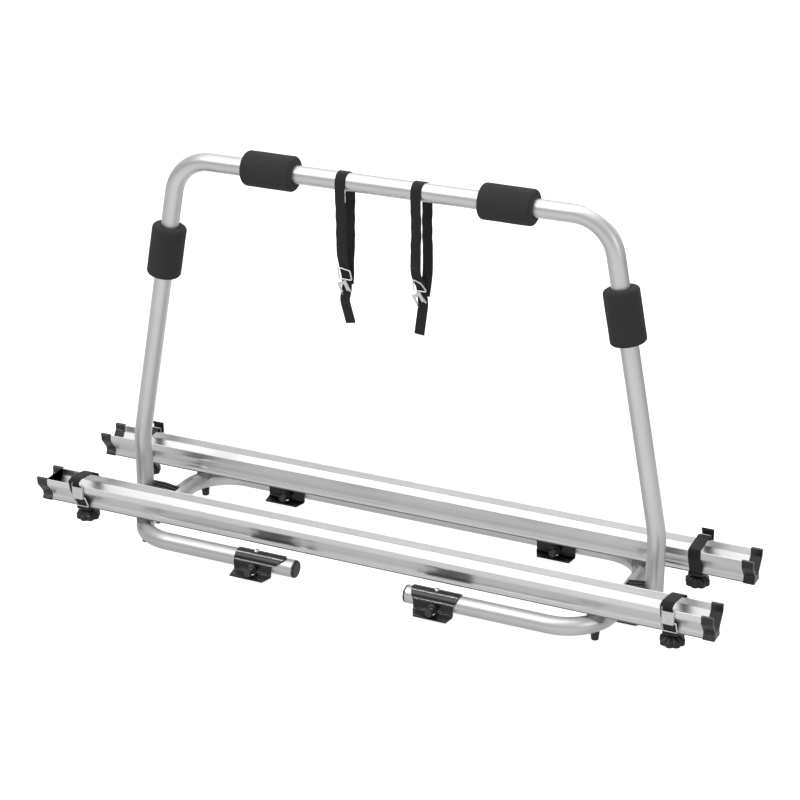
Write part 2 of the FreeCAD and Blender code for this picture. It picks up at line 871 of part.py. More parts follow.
def make_rail_bolts():
    """Four bolts that hold the rails down through saddles and base tube."""
    head_width = s.slot_width - s.slot_head_clearance * 2
    length = rail_base_height + s.rail_wall - s.cap_nut_floor
    bolts = []
    for end_name, end in ENDS:
        for side_name, side in SIDES:
            label = f"rail_bolt_{end_name}_{side_name}"
            bolt = make_slot_bolt(label, s.rail_wall, s.bolt_head_height, head_width, length)
            place(bolt, crossing_x * side, rail_y * end, rail_base_height)
            bolts.append(bolt)
    group("rail_bolts", bolts)


def make_rail_cap_nuts():
    """Four closed tapered nuts under the base tube, which the rack stands on."""
    nuts = []
    top_radius = s.cap_nut_top_diameter / 2
    foot_radius = s.cap_nut_foot_diameter / 2
    for end_name, end in ENDS:
        for side_name, side in SIDES:
            body = new_body(f"rail_cap_nut_{end_name}_{side_name}")
            half = new_sketch(body, "XZ_Plane")
            outline(half, [(0, 0),
                           (foot_radius, 0, s.cap_nut_rounding),
                           (top_radius, s.cap_nut_height),
                           (bolt_radius, s.cap_nut_height),
                           (bolt_radius, s.cap_nut_floor),
                           (0, s.cap_nut_floor)])
            revolve(body, half, "Z_Axis")
            place(body, crossing_x * side, rail_y * end)
            nuts.append(body)
    group("rail_cap_nuts", nuts)


# Foam pads

def make_foam_pad(label):
    """A split foam sleeve along X with rounded ends, open along its back."""
    body = new_body(label)
    half = new_sketch(body, "XY_Plane")
    inner = tube_radius + s.pad_clearance
    outer = s.pad_diameter / 2
    reach = s.pad_length / 2
    rounding = s.pad_end_rounding
    outline(half, [(-reach, inner), (reach, inner),
                   (reach, outer, rounding), (-reach, outer, rounding)])
    sleeve = revolve(body, half, "X_Axis")
    bind(sleeve, "Angle", 360 - s.pad_slit_angle)
    return body


def make_foam_pads():
    for name, side, distance in (("left", -1, s.bar_pad_left), ("right", 1, s.bar_pad_right)):
        foam = make_foam_pad(f"foam_pad_bar_{name}")
        place(foam, distance * side, 0, s.hoop_bar_height, axis=(1, 0, 0))
        finish(foam)

    # The legs lean inward above their kink by this run over this rise.
    lean_run = (s.hoop_foot_span - s.hoop_top_span) / 2
    lean_rise = s.hoop_bar_height - s.hoop_kink_height
    heights = (("left", -1, s.leg_pad_left_height), ("right", 1, s.leg_pad_right_height))
    for name, side, height in heights:
        foam = make_foam_pad(f"foam_pad_leg_{name}")
        x = (hoop_foot_x - lean_run * (height - s.hoop_kink_height) / lean_rise) * side
        place(foam, x, 0, height)
        tilt(foam, (0, 1, 0), -side, lean_run, lean_rise, base=-90)
        finish(foam)


# Drawbar brackets

def bracket_section():
    """A folded sheet over the tube: round saddle, two walls and two flanges that slope out."""
    sheet = s.bracket_sheet
    crease = -s.bracket_wall_drop
    tip_x = bracket_outer + s.flange_width
    tip = crease - s.flange_drop
    slant = hypotenuse(s.flange_width, s.flange_drop)
    under = sheet * slant / s.flange_width
    inner_crease = crease + sheet * s.flange_drop / s.flange_width - under
    outer = [(tip_x, tip),
             (bracket_outer, crease, s.bracket_crease_rounding),
             (bracket_outer, bracket_outer, bracket_outer)]
    inner = [(tip_x, tip - under),
             (bracket_bore, inner_crease, s.bracket_inner_rounding),
             (bracket_bore, bracket_bore, bracket_bore)]
    left = [(-as_size(x), *rest) for x, *rest in reversed(outer)]
    right_inner = list(reversed(inner))
    left_inner = [(-as_size(x), *rest) for x, *rest in inner]
    return outer + left + left_inner + right_inner


def make_drawbar_bracket(end_name, end, side_name, side, distance):
    """A folded bracket; the ends of its saddle flare, mostly toward the rack's middle."""
    body = new_body(f"drawbar_bracket_{end_name}_{side_name}")
    half = s.bracket_length / 2
    if side < 0:
        ends = [(1, s.left_bracket_inner_flare)]
        cuts = [(1, s.left_flange_inner_cut)]
        crown = half + s.left_bracket_inner_flare
    else:
        ends = [(-1, s.right_bracket_inner_flare), (1, s.right_bracket_outer_flare)]
        cuts = [(-1, s.right_flange_inner_cut), (1, s.right_flange_outer_cut)]
        crown = half + s.right_bracket_inner_flare
    section = new_sketch(body, "YZ_Plane")
    outline(section, bracket_section())
    pad(body, section, crown * 2, side="Symmetric")

    # Seen from the front, the ends are upright up to the tube's middle and flare above it.
    above = bracket_outer + s.cut_margin
    below = -(s.bracket_wall_drop + s.flange_drop + s.bracket_sheet + s.cut_margin)
    past = crown + s.left_bracket_inner_flare
    ends_cut = new_sketch(body, "XZ_Plane")
    for way, flare in ends:
        flare_top = half + flare + flare * s.cut_margin / bracket_outer
        outline(ends_cut, [(half * way, below), (half * way, 0), (flare_top * way, above),
                           (past * way, above), (past * way, below)])
    if side < 0:
        outline(ends_cut, [(-half, below), (-past, below), (-past, above), (-half, above)])
    pocket(body, ends_cut)

    # Seen from above, the flanges have cut corners.
    reach = bracket_outer + s.flange_width
    corners = new_sketch(body, "XY_Plane")
    for way, cut in cuts:
        for wall in (-1, 1):
            near = (bracket_outer + s.flange_cut_inset) * wall
            tip = reach * wall
            beyond = (reach + s.cut_margin) * wall
            outline(corners, [(half * way, near), ((half - cut) * way, tip),
                              ((half - cut) * way, beyond), (half * way, beyond)])
    pocket(body, corners, above * 2)

    # The clamp bolt's bore in the front wall, and room in the flange for its boss.
    bolt_bore = new_sketch(body, "XZ_Plane")
    circle(bolt_bore, 0, -s.clamp_bolt_drop, bolt_hole_radius)
    pocket(body, bolt_bore, above, side="One side", reverse=True)
    relief = new_sketch(body, "XZ_Plane", offset=bracket_outer)
    circle(relief, 0, -s.clamp_bolt_drop, s.boss_diameter / 2 + s.boss_relief)
    pocket(body, relief, s.flange_width, side="One side", reverse=True)
    screw_bore = new_sketch(body, "XY_Plane")
    circle(screw_bore, 0, 0, s.crown_screw_diameter / 2 + s.bolt_hole_clearance)
    pocket(body, screw_bore, above, side="One side", reverse=True)
    place(body, distance * side, front_tube_y * end, tube_height)
    finish(body)


def make_bracket_fasteners(end_name, end, side_name, side, distance):
    """The clamp bolt, the round boss it turns in, and a domed screw in the saddle's crown."""
    label = f"{end_name}_{side_name}"
    x = distance * side
    y = front_tube_y * end
    bolt_height = tube_height - s.clamp_bolt_drop
    head_face = bracket_outer + s.clamp_bolt_reach
    bolt = make_hex_bolt(f"clamp_bolt_{label}", head_face - clamp_tip)
    place(bolt, x, y - head_face, bolt_height, degrees=90)
    boss = new_body(f"clamp_boss_{label}")
    ring = new_sketch(boss, "YZ_Plane")
    circle(ring, 0, 0, s.boss_diameter / 2)
    circle(ring, 0, 0, bolt_radius)
    pad(boss, ring, s.boss_height)
    place(boss, x, y - bracket_outer - s.boss_height, bolt_height, degrees=90)

    screw = new_body(f"crown_screw_{label}")
    half = new_sketch(screw, "XZ_Plane")
    head = s.crown_screw_head / 2
    stem = s.crown_screw_diameter / 2
    outline(half, [(0, s.bracket_clearance - s.bracket_sheet),
                   (stem, s.bracket_clearance - s.bracket_sheet),
                   (stem, 0),
                   (head, 0),
                   (head, s.crown_screw_height, s.crown_screw_rounding),
                   (0, s.crown_screw_height)])
    revolve(screw, half, "Z_Axis")
    place(screw, x, y, tube_height + bracket_outer)
    group(f"bracket_fasteners_{label}", [bolt, boss, screw])


def make_brackets():
    distances = {
        ("front", "left"): s.front_bracket_left,
        ("front", "right"): s.front_bracket_right,
        ("back", "left"): s.back_bracket_left,
        ("back", "right"): s.back_bracket_right,
    }
    for end_name, end in ENDS:
        for side_name, side in SIDES:
            distance = distances[end_name, side_name]
            make_drawbar_bracket(end_name, end, side_name, side, distance)
            make_bracket_fasteners(end_name, end, side_name, side, distance)


# Wheel straps. Each is drawn for a front rail, with its buckle on the -Y side and z from the
# rail's base, and turned half a circle for a back rail.

def make_strap_carrier(label):
    """A moulded block under the rail with a slot for each end of the webbing."""
    body = new_body(label)
    block = new_sketch(body, "XY_Plane", offset=carrier_top)
    half_length = s.carrier_length / 2
    half_width = s.carrier_width / 2
    rectangle(block, -half_length, -half_width, half_length, half_width, s.carrier_rounding)
    pad(body, block, s.carrier_height, reverse=True)
    slots = new_sketch(body, "XY_Plane")
    slot_half = s.webbing_width / 2 + s.webbing_slot_clearance
    slot_reach = s.webbing_thickness / 2 + s.webbing_slot_clearance
    for side in (-1, 1):
        middle = s.webbing_foot_half * side
        rectangle(slots, -slot_half, middle - slot_reach, slot_half, middle + slot_reach)
    pocket(body, slots)
    bore = new_sketch(body, "XY_Plane")
    circle(bore, 0, 0, bolt_radius)
    pocket(body, bore)
    return body


def make_carrier_bolt(label):
    """The bolt that hangs the carrier in the rail's slot and carries the knob."""
    head_bottom = s.rail_wall + s.running_gap
    head_width = s.slot_width - s.running_gap * 2
    knob_depth = s.knob_collar_height + s.knob_height - s.knob_floor - s.running_gap
    length = head_bottom - knob_top + knob_depth
    return make_slot_bolt(label, head_bottom, s.carrier_bolt_head_height, head_width, length)


def make_strap_knob(label):
    """A hand knob with eight lobes and a blind thread, hanging below its collar."""
    body = new_body(label)
    core = new_sketch(body, "XY_Plane", offset=-s.knob_collar_height)
    circle(core, 0, 0, s.knob_core_diameter / 2)
    pad(body, core, s.knob_height, reverse=True)
    lobe = new_sketch(body, "XY_Plane", offset=-s.knob_collar_height)
    circle(lobe, s.knob_diameter / 2 - s.knob_lobe_radius, 0, s.knob_lobe_radius)
    lobe_pad = pad(body, lobe, s.knob_height, reverse=True)
    doc.recompute()
    lobes = body.newObject("PartDesign::PolarPattern", "Lobes")
    lobes.Originals = [lobe_pad]
    axis = next(item for item in body.Origin.OriginFeatures if item.Role == "Z_Axis")
    lobes.Axis = (axis, [""])
    lobes.Angle = 360
    lobes.Occurrences = int(s.knob_lobe_count.number)
    lobes.setExpression("Occurrences", s.knob_lobe_count.text)
    body.Tip = lobes
    doc.recompute()

    # The rims of the top and bottom faces are rounded.
    rims = []
    top = -s.knob_collar_height.number
    bottom = top - s.knob_height.number
    for index, edge in enumerate(lobes.Shape.Edges, 1):
        box = edge.BoundBox
        flat = box.ZLength < 1e-6
        if flat and min(abs(box.ZMax - top), abs(box.ZMax - bottom)) < 1e-6:
            rims.append(f"Edge{index}")
    rounding = body.newObject("PartDesign::Fillet", "Rims")
    rounding.Base = (lobes, rims)
    bind(rounding, "Radius", s.knob_edge_rounding)
    body.Tip = rounding

    collar = new_sketch(body, "XY_Plane")
    circle(collar, 0, 0, s.knob_collar_diameter / 2)
    pad(body, collar, s.knob_collar_height + s.knob_edge_rounding, reverse=True)
    thread = new_sketch(body, "XY_Plane")
    circle(thread, 0, 0, bolt_radius + s.knob_thread_clearance)
    depth = s.knob_collar_height + s.knob_height - s.knob_floor
    pocket(body, thread, depth, side="One side")
    return body


def make_wheel_strap(label):
    """Webbing from one carrier slot, up the rail's wall, over the trough and down again."""
    body = new_body(label)
    path = new_sketch(body, "YZ_Plane")
    wall_y = webbing_wall_y
    foot_y = s.webbing_foot_half
    top = s.rail_height + s.running_gap + s.webbing_thickness
    peak = top + s.webbing_rise
    half = [(-foot_y, carrier_bottom + s.webbing_thickness),
            (-foot_y, webbing_start, s.webbing_foot_bend),
            (-wall_y, s.rail_shoulder_height, s.webbing_shoulder_bend),
            (-wall_y, top, s.webbing_lip_bend),
            (-s.webbing_crown_half, peak, s.webbing_crown_bend)]
    outline(path, half + [(-as_size(x), *rest) for x, *rest in reversed(half)], closed=False)
    section = new_sketch(body, "XY_Plane", offset=half[0][1])
    half_width = s.webbing_width / 2
    half_thick = s.webbing_thickness / 2
    rectangle(section, -half_width, -foot_y - half_thick, half_width, half_thick - foot_y)
    pipe(body, section, path)
    return body


def make_buckle_ring(label):
    """A rectangular wire ring in the XZ plane that hangs from its top bar, which lies on X."""
    body = new_body(label)
    radius = s.ring_corner_radius
    half = s.lever_width / 2 + s.running_gap + radius
    path = new_sketch(body, "XZ_Plane")
    outline(path, [(0, 0), (half, 0, radius), (half, -s.ring_height, radius),
                   (-half, -s.ring_height, radius), (-half, 0, radius)])
    section = new_sketch(body, "YZ_Plane")
    circle(section, 0, 0, s.ring_wire / 2)
    pipe(body, section, path)
    return body


def make_buckle_lever(label):
    """A folded plate with two cheeks that turn on the ring's top bar."""
    body = new_body(label)
    inner_face = -lever_back - s.lever_cheek_depth
    outer_face = inner_face - s.lever_sheet
    eye = lever_eye
    bore = s.ring_wire / 2 + s.lever_bore_clearance
    side = new_sketch(body, "YZ_Plane")
    eye_shoulder = eye * (slant_length - slant_rise) / slant_run
    back_height = eye_shoulder + (eye + lever_back) * slant_rise / slant_run
    outline(side, [(outer_face, -eye, s.lever_edge_rounding),
                   (eye, -eye, s.lever_eye_rounding),
                   (eye, eye_shoulder),
                   (-lever_back, back_height),
                   (-lever_back, s.lever_cheek_height, s.lever_top_rounding),
                   (outer_face, s.lever_cheek_height, s.lever_edge_rounding)])
    pad(body, side, s.lever_width, side="Symmetric")
    hollow = new_sketch(body, "YZ_Plane")
    front = outer_face - s.cut_margin
    back = eye + s.cut_margin
    above = s.lever_cheek_height + s.cut_margin
    outline(hollow, [(inner_face, -back), (back, -back), (back, above),
                     (front, above), (front, s.lever_plate_height), (inner_face, s.lever_plate_height)])
    pocket(body, hollow, s.lever_width - s.lever_sheet * 2)
    bores = new_sketch(body, "YZ_Plane")
    circle(bores, 0, 0, bore)
    pocket(body, bores)
    return body


def make_wheel_straps():
    distances = {
        ("front", "left"): s.front_strap_left,
        ("front", "right"): s.front_strap_right,
        ("back", "left"): s.back_strap_left,
        ("back", "right"): s.back_strap_right,
    }
    for end_name, end in ENDS:
        turn = 0 if end < 0 else 180
        for side_name, side in SIDES:
            name = f"{end_name}_{side_name}"
            x = distances[end_name, side_name] * side
            y = rail_y * end
            for piece in (make_strap_carrier(f"strap_carrier_{name}"),
                          make_carrier_bolt(f"carrier_bolt_{name}"),
                          make_wheel_strap(f"wheel_strap_{name}")):
                finish(place(piece, x, y, rail_base_height, degrees=turn))
            knob = make_strap_knob(f"strap_knob_{name}")
            finish(place(knob, x, y, rail_base_height + knob_top))
            bar_y = y + buckle_bar_y * end
            bar_height = rail_base_height + buckle_bar_z
            lever = make_buckle_lever(f"wheel_buckle_lever_{name}")
            finish(place(lever, x, bar_y, bar_height, degrees=turn))
            ring = make_buckle_ring(f"wheel_buckle_ring_{name}")
            place(ring, x, bar_y, bar_height)
            tilt(ring, (1, 0, 0), -end, ring_swing, ring_drop)
            finish(ring)


# Straps that hang from the hoop's bar

def make_upper_strap(label):
    """Webbing looped over the bar, its two halves joined below and ending in a single tail."""
    body = new_body(label)
    bore = tube_radius + s.running_gap
    outer = bore + s.webbing_thickness
    join = s.upper_join_height - s.hoop_bar_height
    tail = s.upper_tail_height - s.hoop_bar_height
    doubled_end = s.upper_buckle_height - s.hoop_bar_height
    thick = s.webbing_thickness
    section = new_sketch(body, "YZ_Plane")
    bend = s.upper_join_bend
    knee = s.upper_knee_height - s.hoop_bar_height
    half = s.upper_knee_half
    outline(section, [(thick, tail), (thick, join, bend), (half, knee, bend),
                      (outer, -bore), (outer, outer, outer),
                      (-outer, outer, outer), (-outer, -bore), (-half, knee, bend),
                      (-thick, join, bend), (-thick, doubled_end), (0, doubled_end), (0, tail)])
    eye = join + s.upper_eye_height
    inner = half - thick
    inner_knee = knee + s.upper_eye_height
    outline(section, [(0, eye), (inner, inner_knee, bend), (bore, -bore), (bore, bore, bore),
                      (-bore, bore, bore), (-bore, -bore), (-inner, inner_knee, bend)])
    pad(body, section, s.upper_webbing_width, side="Symmetric")
    return body


def make_upper_straps():
    """Each strap carries its buckle upside down: the ring above, the lever hanging from its bar."""
    bar_y = -(s.webbing_thickness + s.running_gap + s.ring_wire / 2 + s.lever_sheet / 4)
    for name, side, distance in (("left", -1, s.upper_strap_left), ("right", 1, s.upper_strap_right)):
        x = distance * side
        strap = make_upper_strap(f"upper_strap_{name}")
        finish(place(strap, x, 0, s.hoop_bar_height))
        for piece in (make_buckle_ring(f"upper_buckle_ring_{name}"),
                      make_buckle_lever(f"upper_buckle_lever_{name}")):
            finish(place(piece, x, bar_y, s.upper_buckle_height, axis=(0, 1, 0), degrees=180))


make_base_tube()
make_base_tube_plugs()
make_hoop_tube()
for side_name, side in SIDES:
    make_hoop_foot(side_name, side)
make_hoop_foot_bolts()
for end_name, end in ENDS:
    make_wheel_rail(end_name, end)
    for side_name, side in SIDES:
        make_rail_cap(end_name, end, side_name, side)
        make_rail_saddle(end_name, end, side_name, side)
make_rail_bolts()
make_rail_cap_nuts()
make_foam_pads()
make_brackets()
make_wheel_straps()
make_upper_straps()
doc.recompute()


# Checks before anything is written

faults = []
for item in doc.Objects:
    if "Invalid" in item.State or "Error" in item.State:
        faults.append(f"{item.Name} ({item.Label}) did not build")
    if item.isDerivedFrom("PartDesign::Pocket") and item.BaseFeature is not None:
        if item.Shape.Volume > item.BaseFeature.Shape.Volume - 0.01:
            faults.append(f"{item.Name} cuts nothing")
for part in sub_parts:
    if part.Shape.isNull() or not part.Shape.isValid():
        faults.append(f"{part.Label} has no valid shape")
if faults:
    raise RuntimeError("; ".join(faults))

for part in sub_parts:
    part.Shape.exportStep(f"parts/{part.Label}.step")
print(f"{len(sub_parts)} sub-parts written")
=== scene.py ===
import json
import math
import bmesh
import bpy
import numpy as np
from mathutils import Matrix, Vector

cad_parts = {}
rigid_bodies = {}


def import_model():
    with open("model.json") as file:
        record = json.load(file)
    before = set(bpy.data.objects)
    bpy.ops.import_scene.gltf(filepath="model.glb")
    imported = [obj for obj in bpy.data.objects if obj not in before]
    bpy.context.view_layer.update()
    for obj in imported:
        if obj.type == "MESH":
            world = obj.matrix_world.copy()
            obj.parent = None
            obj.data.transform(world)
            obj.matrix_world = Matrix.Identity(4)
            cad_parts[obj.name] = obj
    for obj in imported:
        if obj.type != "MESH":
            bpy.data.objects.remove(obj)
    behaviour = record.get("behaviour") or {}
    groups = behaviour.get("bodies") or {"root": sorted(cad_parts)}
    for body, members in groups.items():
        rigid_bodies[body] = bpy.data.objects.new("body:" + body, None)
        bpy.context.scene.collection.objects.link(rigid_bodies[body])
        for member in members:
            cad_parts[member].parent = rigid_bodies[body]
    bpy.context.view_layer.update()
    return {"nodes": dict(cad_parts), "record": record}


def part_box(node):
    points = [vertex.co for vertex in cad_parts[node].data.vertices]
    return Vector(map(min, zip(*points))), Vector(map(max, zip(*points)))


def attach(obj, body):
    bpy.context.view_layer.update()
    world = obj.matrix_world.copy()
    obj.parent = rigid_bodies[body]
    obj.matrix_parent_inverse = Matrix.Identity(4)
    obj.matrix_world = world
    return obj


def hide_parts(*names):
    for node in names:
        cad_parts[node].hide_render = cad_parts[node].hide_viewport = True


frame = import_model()

# Drawbar bike rack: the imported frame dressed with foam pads, webbing, buckles and finishes.
# Metres, X along the rails, Y from front to back, Z up, the floor at z 0.
mm = 0.001
weld = 1e-6  # points closer than this are one point
scene = bpy.context.scene
corners = [(end, side) for end in ("front", "back") for side in ("left", "right")]
print("frame loaded:", len(frame["nodes"]), "nodes")


def middleOf(node):
    # the middle of a node's box, in millimetres
    low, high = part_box(node)
    return (np.array(low) + np.array(high)) / 2 / mm


# Camera and studio

camera = {
    "azimuth": 25.29, "elevation": 22.89, "roll": -0.17,  # degrees
    "distance": 3.9225, "target": (0.0215, 0.0086, 0.3171), "farthest": 100,
    "lens": 101.23, "sensor": 36,  # millimetres
}
studio = {
    "floorSize": 30.0, "floorColour": "#E4E4E3",
    "floorGlow": 0.9,  # seen by the camera
    # the floor's brightness in mirrors: under the rack, around it, and the share left behind it
    "underRack": 0.66, "floorMirror": 0.88, "behind": 0.5,
    # where it changes, in metres from the middle and behind it, the first squeezed along the rails
    "shade": (0.16, 0.45), "shadeStretch": (0.3, 1, 1), "behindFrom": (0.5, 1.5),
    # the air's brightness in mirrors: the backdrop, the room before it, and for other rays
    "backdrop": 0.8, "room": 0.52, "brightWay": (0, 0.55, 0.83), "backdropEdge": (0.3, -0.4),
    "skyFill": 0.4,
    # the share of both that mirror rays along the rack find, and the turn from which all is left
    "sideFlag": 0.74, "flagEnd": 0.8, "frontWay": (0.3, -0.954, 0),
    "lamps": [  # name, place, aims at, size or length and width, watts
        ("overheadSoftbox", (-0.3, 0.1, 2.9), (0, 0, 0.3), 3.0, 23),
        ("frontSoftbox", (-1.4, -2.0, 3.1), (0, 0, 0.4), 1.6, 21),
        ("stripOver", (-1.3, 0.05, 2.6), (0, 0, 0.1), (0.12, 2.4), 55),
        ("stripFront", (-1.4, -2.9, 0.36), (0, -0.1, 0.1), (2.8, 0.1), 50),
        ("sideSoftbox", (2.8, -1.0, 1.5), (0.2, 0, 0.4), 1.2, 5),
        ("backSoftbox", (0.6, 2.8, 1.9), (0, 0, 0.4), 1.6, 12),
    ],
    "stripLamps": ("stripOver", "stripFront"),
    "stripPieces": ("drawbarBracket", "bracketFasteners", "railCap", "handKnob", "hoopFoot",
                    "base_tube_plugs"),
}


def linear(hexColour):
    # an sRGB hex colour as linear light: each channel divided by 12.92 or raised to 2.4
    channels = np.array([int(hexColour[i:i + 2], 16) for i in (1, 3, 5)]) / 255
    light = np.where(channels <= 0.04045, channels / 12.92, ((channels + 0.055) / 1.055) ** 2.4)
    return (*light.tolist(), 1.0)


def addNode(tree, kind, settings=None, links=None):
    # one node: a setting is a property, or an input by name or number; a link is input to socket
    node = tree.nodes.new(kind)
    for name, value in (settings or {}).items():
        if isinstance(name, int) or name in node.inputs:
            node.inputs[name].default_value = value
        else:
            setattr(node, name, value)
    for name, socket in (links or {}).items():
        tree.links.new(socket, node.inputs[name])
    return node


def product(tree, a, b):
    # two sockets' values multiplied
    return addNode(tree, "ShaderNodeMath", {"operation": "MULTIPLY"}, {0: a, 1: b}).outputs[0]


def mirrorRays(tree, path):
    # 1 for the rays that a mirror or glass sends on
    return addNode(tree, "ShaderNodeMath", {"operation": "MAXIMUM"},
                   {0: path.outputs["Is Glossy Ray"],
                    1: path.outputs["Is Transmission Ray"]}).outputs[0]


def aimObject(thing, place, target, roll=0.0):
    # looks along minus z from place to target, then turns about that line
    out = np.array(place, float) - np.array(target, float)
    out /= np.linalg.norm(out)
    right = np.cross((0, 0, 1), out)
    right /= np.linalg.norm(right)
    up = np.cross(out, right)
    a = math.radians(roll)
    axes = [math.cos(a) * right + math.sin(a) * up, math.cos(a) * up - math.sin(a) * right, out]
    matrix = np.eye(4)
    matrix[:3, :3] = np.array(axes).T
    matrix[:3, 3] = place
    thing.matrix_world = [list(row) for row in matrix.T]


def makeCamera():
    data = bpy.data.cameras.new("photoCamera")
    data.lens = camera["lens"]
    data.sensor_width = camera["sensor"]
    az, el = math.radians(camera["azimuth"]), math.radians(camera["elevation"])
    out = np.array([math.sin(az) * math.cos(el), -math.cos(az) * math.cos(el), math.sin(el)])
    eye = bpy.data.objects.new("photoCamera", data)
    scene.collection.objects.link(eye)
    target = np.array(camera["target"])
    aimObject(eye, target + camera["distance"] * out, target, camera["roll"])
    data.clip_end = camera["farthest"]
    scene.camera = eye


def mirrorFlags(tree):
    # 1 for mirror rays that run to the front or the back, less for those that run to the sides, by
    # the square of the level ray's share of frontWay: upright tubes get the darker edges of flags
    ray = addNode(tree, "ShaderNodeNewGeometry").outputs["Incoming"]
    flat = addNode(tree, "ShaderNodeVectorMath", {"operation": "MULTIPLY", 1: (1, 1, 0)}, {0: ray})
    unit = addNode(tree, "ShaderNodeVectorMath", {"operation": "NORMALIZE"}, {0: flat.outputs[0]})
    across = addNode(tree, "ShaderNodeVectorMath", {"operation": "DOT_PRODUCT", 1: studio["frontWay"]},
                     {0: unit.outputs[0]})
    square = product(tree, across.outputs["Value"], across.outputs["Value"])
    return addNode(tree, "ShaderNodeMapRange",
                   {"From Max": studio["flagEnd"], "To Min": studio["sideFlag"]},
                   {"Value": square}).outputs[0]


def makeFloor():
    # seen by the camera the floor glows pale; in a mirror it is dim under the rack and bright
    # in front of it; other rays find a plain pale floor
    tree = newMaterial("paleStudioFloor")
    path = addNode(tree, "ShaderNodeLightPath")
    place = addNode(tree, "ShaderNodeTexCoord").outputs["Object"]
    squeezed = addNode(tree, "ShaderNodeVectorMath",
                       {"operation": "MULTIPLY", 1: studio["shadeStretch"]}, {0: place})
    reach = addNode(tree, "ShaderNodeVectorMath", {"operation": "LENGTH"}, {0: squeezed.outputs[0]})
    shade = addNode(tree, "ShaderNodeMapRange",
                    {"From Min": studio["shade"][0], "From Max": studio["shade"][1],
                     "To Min": studio["underRack"], "To Max": studio["floorMirror"],
                     "interpolation_type": "SMOOTHSTEP"},
                    {"Value": reach.outputs["Value"]})
    # far behind the rack it is dimmer, which gives every tube its thin darker edges
    depth = addNode(tree, "ShaderNodeSeparateXYZ", {}, {0: place}).outputs["Y"]
    behind = addNode(tree, "ShaderNodeMapRange",
                     {"From Min": studio["behindFrom"][0], "From Max": studio["behindFrom"][1],
                      "To Min": 1.0, "To Max": studio["behind"],
                      "interpolation_type": "SMOOTHSTEP"}, {"Value": depth})
    flagged = product(tree, product(tree, shade.outputs[0], behind.outputs[0]), mirrorFlags(tree))
    mirrored = mirrorRays(tree, path)
    glow = addNode(tree, "ShaderNodeMath", {"operation": "MULTIPLY_ADD", 1: studio["floorGlow"]},
                   {0: path.outputs["Is Camera Ray"], 2: product(tree, mirrored, flagged)})
    emission = addNode(tree, "ShaderNodeEmission", {}, {"Strength": glow.outputs[0]})
    # the paint is black in mirrors, whose glow is already the floor's brightness there
    paint = addNode(tree, "ShaderNodeBsdfDiffuse", {"Color": linear(studio["floorColour"])})
    dark = addNode(tree, "ShaderNodeBsdfDiffuse", {"Color": (0, 0, 0, 1)})
    seen = addNode(tree, "ShaderNodeMixShader", {},
                   {0: mirrored, 1: paint.outputs[0], 2: dark.outputs[0]})
    both = addNode(tree, "ShaderNodeAddShader", {}, {0: emission.outputs[0], 1: seen.outputs[0]})
    tree.links.new(both.outputs[0], outputOf(tree).inputs["Surface"])
    half = studio["floorSize"] / 2
    mesh = bpy.data.meshes.new("studioFloor")
    mesh.from_pydata([(-half, -half, 0), (half, -half, 0), (half, half, 0), (-half, half, 0)],
                     [], [(0, 1, 2, 3)])
    mesh.materials.append(bpy.data.materials["paleStudioFloor"])
    floor = bpy.data.objects.new("studioFloor", mesh)
    scene.collection.objects.link(floor)


def makeAir():
    # in mirrors a bright backdrop behind and above the rack and a dimmer room before it
    world = bpy.data.worlds.new("studioAir")
    world.use_nodes = True
    air = world.node_tree
    air.nodes.clear()
    path = addNode(air, "ShaderNodeLightPath")
    ray = addNode(air, "ShaderNodeNewGeometry").outputs["Incoming"]
    way = addNode(air, "ShaderNodeVectorMath",
                  {"operation": "DOT_PRODUCT", 1: studio["brightWay"]}, {0: ray})
    behind = addNode(air, "ShaderNodeMapRange",
                     {"From Min": studio["backdropEdge"][0], "From Max": studio["backdropEdge"][1],
                      "To Min": studio["room"], "To Max": studio["backdrop"],
                      "interpolation_type": "SMOOTHSTEP"}, {"Value": way.outputs["Value"]})
    flagged = product(air, behind.outputs[0], mirrorFlags(air))
    inMirror = addNode(air, "ShaderNodeMix", {"data_type": "FLOAT", 2: studio["skyFill"]},
                       {0: mirrorRays(air, path), 3: flagged})
    strength = addNode(air, "ShaderNodeMath", {"operation": "MAXIMUM"},
                       {0: inMirror.outputs[0], 1: path.outputs["Is Camera Ray"]})
    light = addNode(air, "ShaderNodeBackground", {"Color": (1, 1, 1, 1)},
                    {"Strength": strength.outputs[0]})
    addNode(air, "ShaderNodeOutputWorld", {}, {"Surface": light.outputs[0]})
    scene.world = world


def makeLamps():
    for name, place, target, size, watts in studio["lamps"]:
        data = bpy.data.lights.new(name, "AREA")
        if isinstance(size, tuple):
            data.shape = "RECTANGLE"
            data.size, data.size_y = size
        else:
            data.size = size
        data.energy = watts
        lamp = bpy.data.objects.new(name, data)
        scene.collection.objects.link(lamp)
        aimObject(lamp, place, target)
        lamp.visible_camera = False


def lightOnly(lamps, starts):
    # the narrow lights reach only the glossy black pieces, where they make long thin highlights
    group = bpy.data.collections.new("glossyBlackPieces")
    for piece in scene.objects:
        if piece.name.startswith(starts):
            group.objects.link(piece)
    for name in lamps:
        bpy.data.objects[name].light_linking.receiver_collection = group


# Materials

def finish(colour, metallic, roughness, grain, bump, **more):
    # an sRGB colour, the grain's size in millimetres and how strongly it tilts the surface
    return {"colour": colour, "metallic": metallic, "roughness": roughness, "grain": grain,
            "bump": bump, **more}


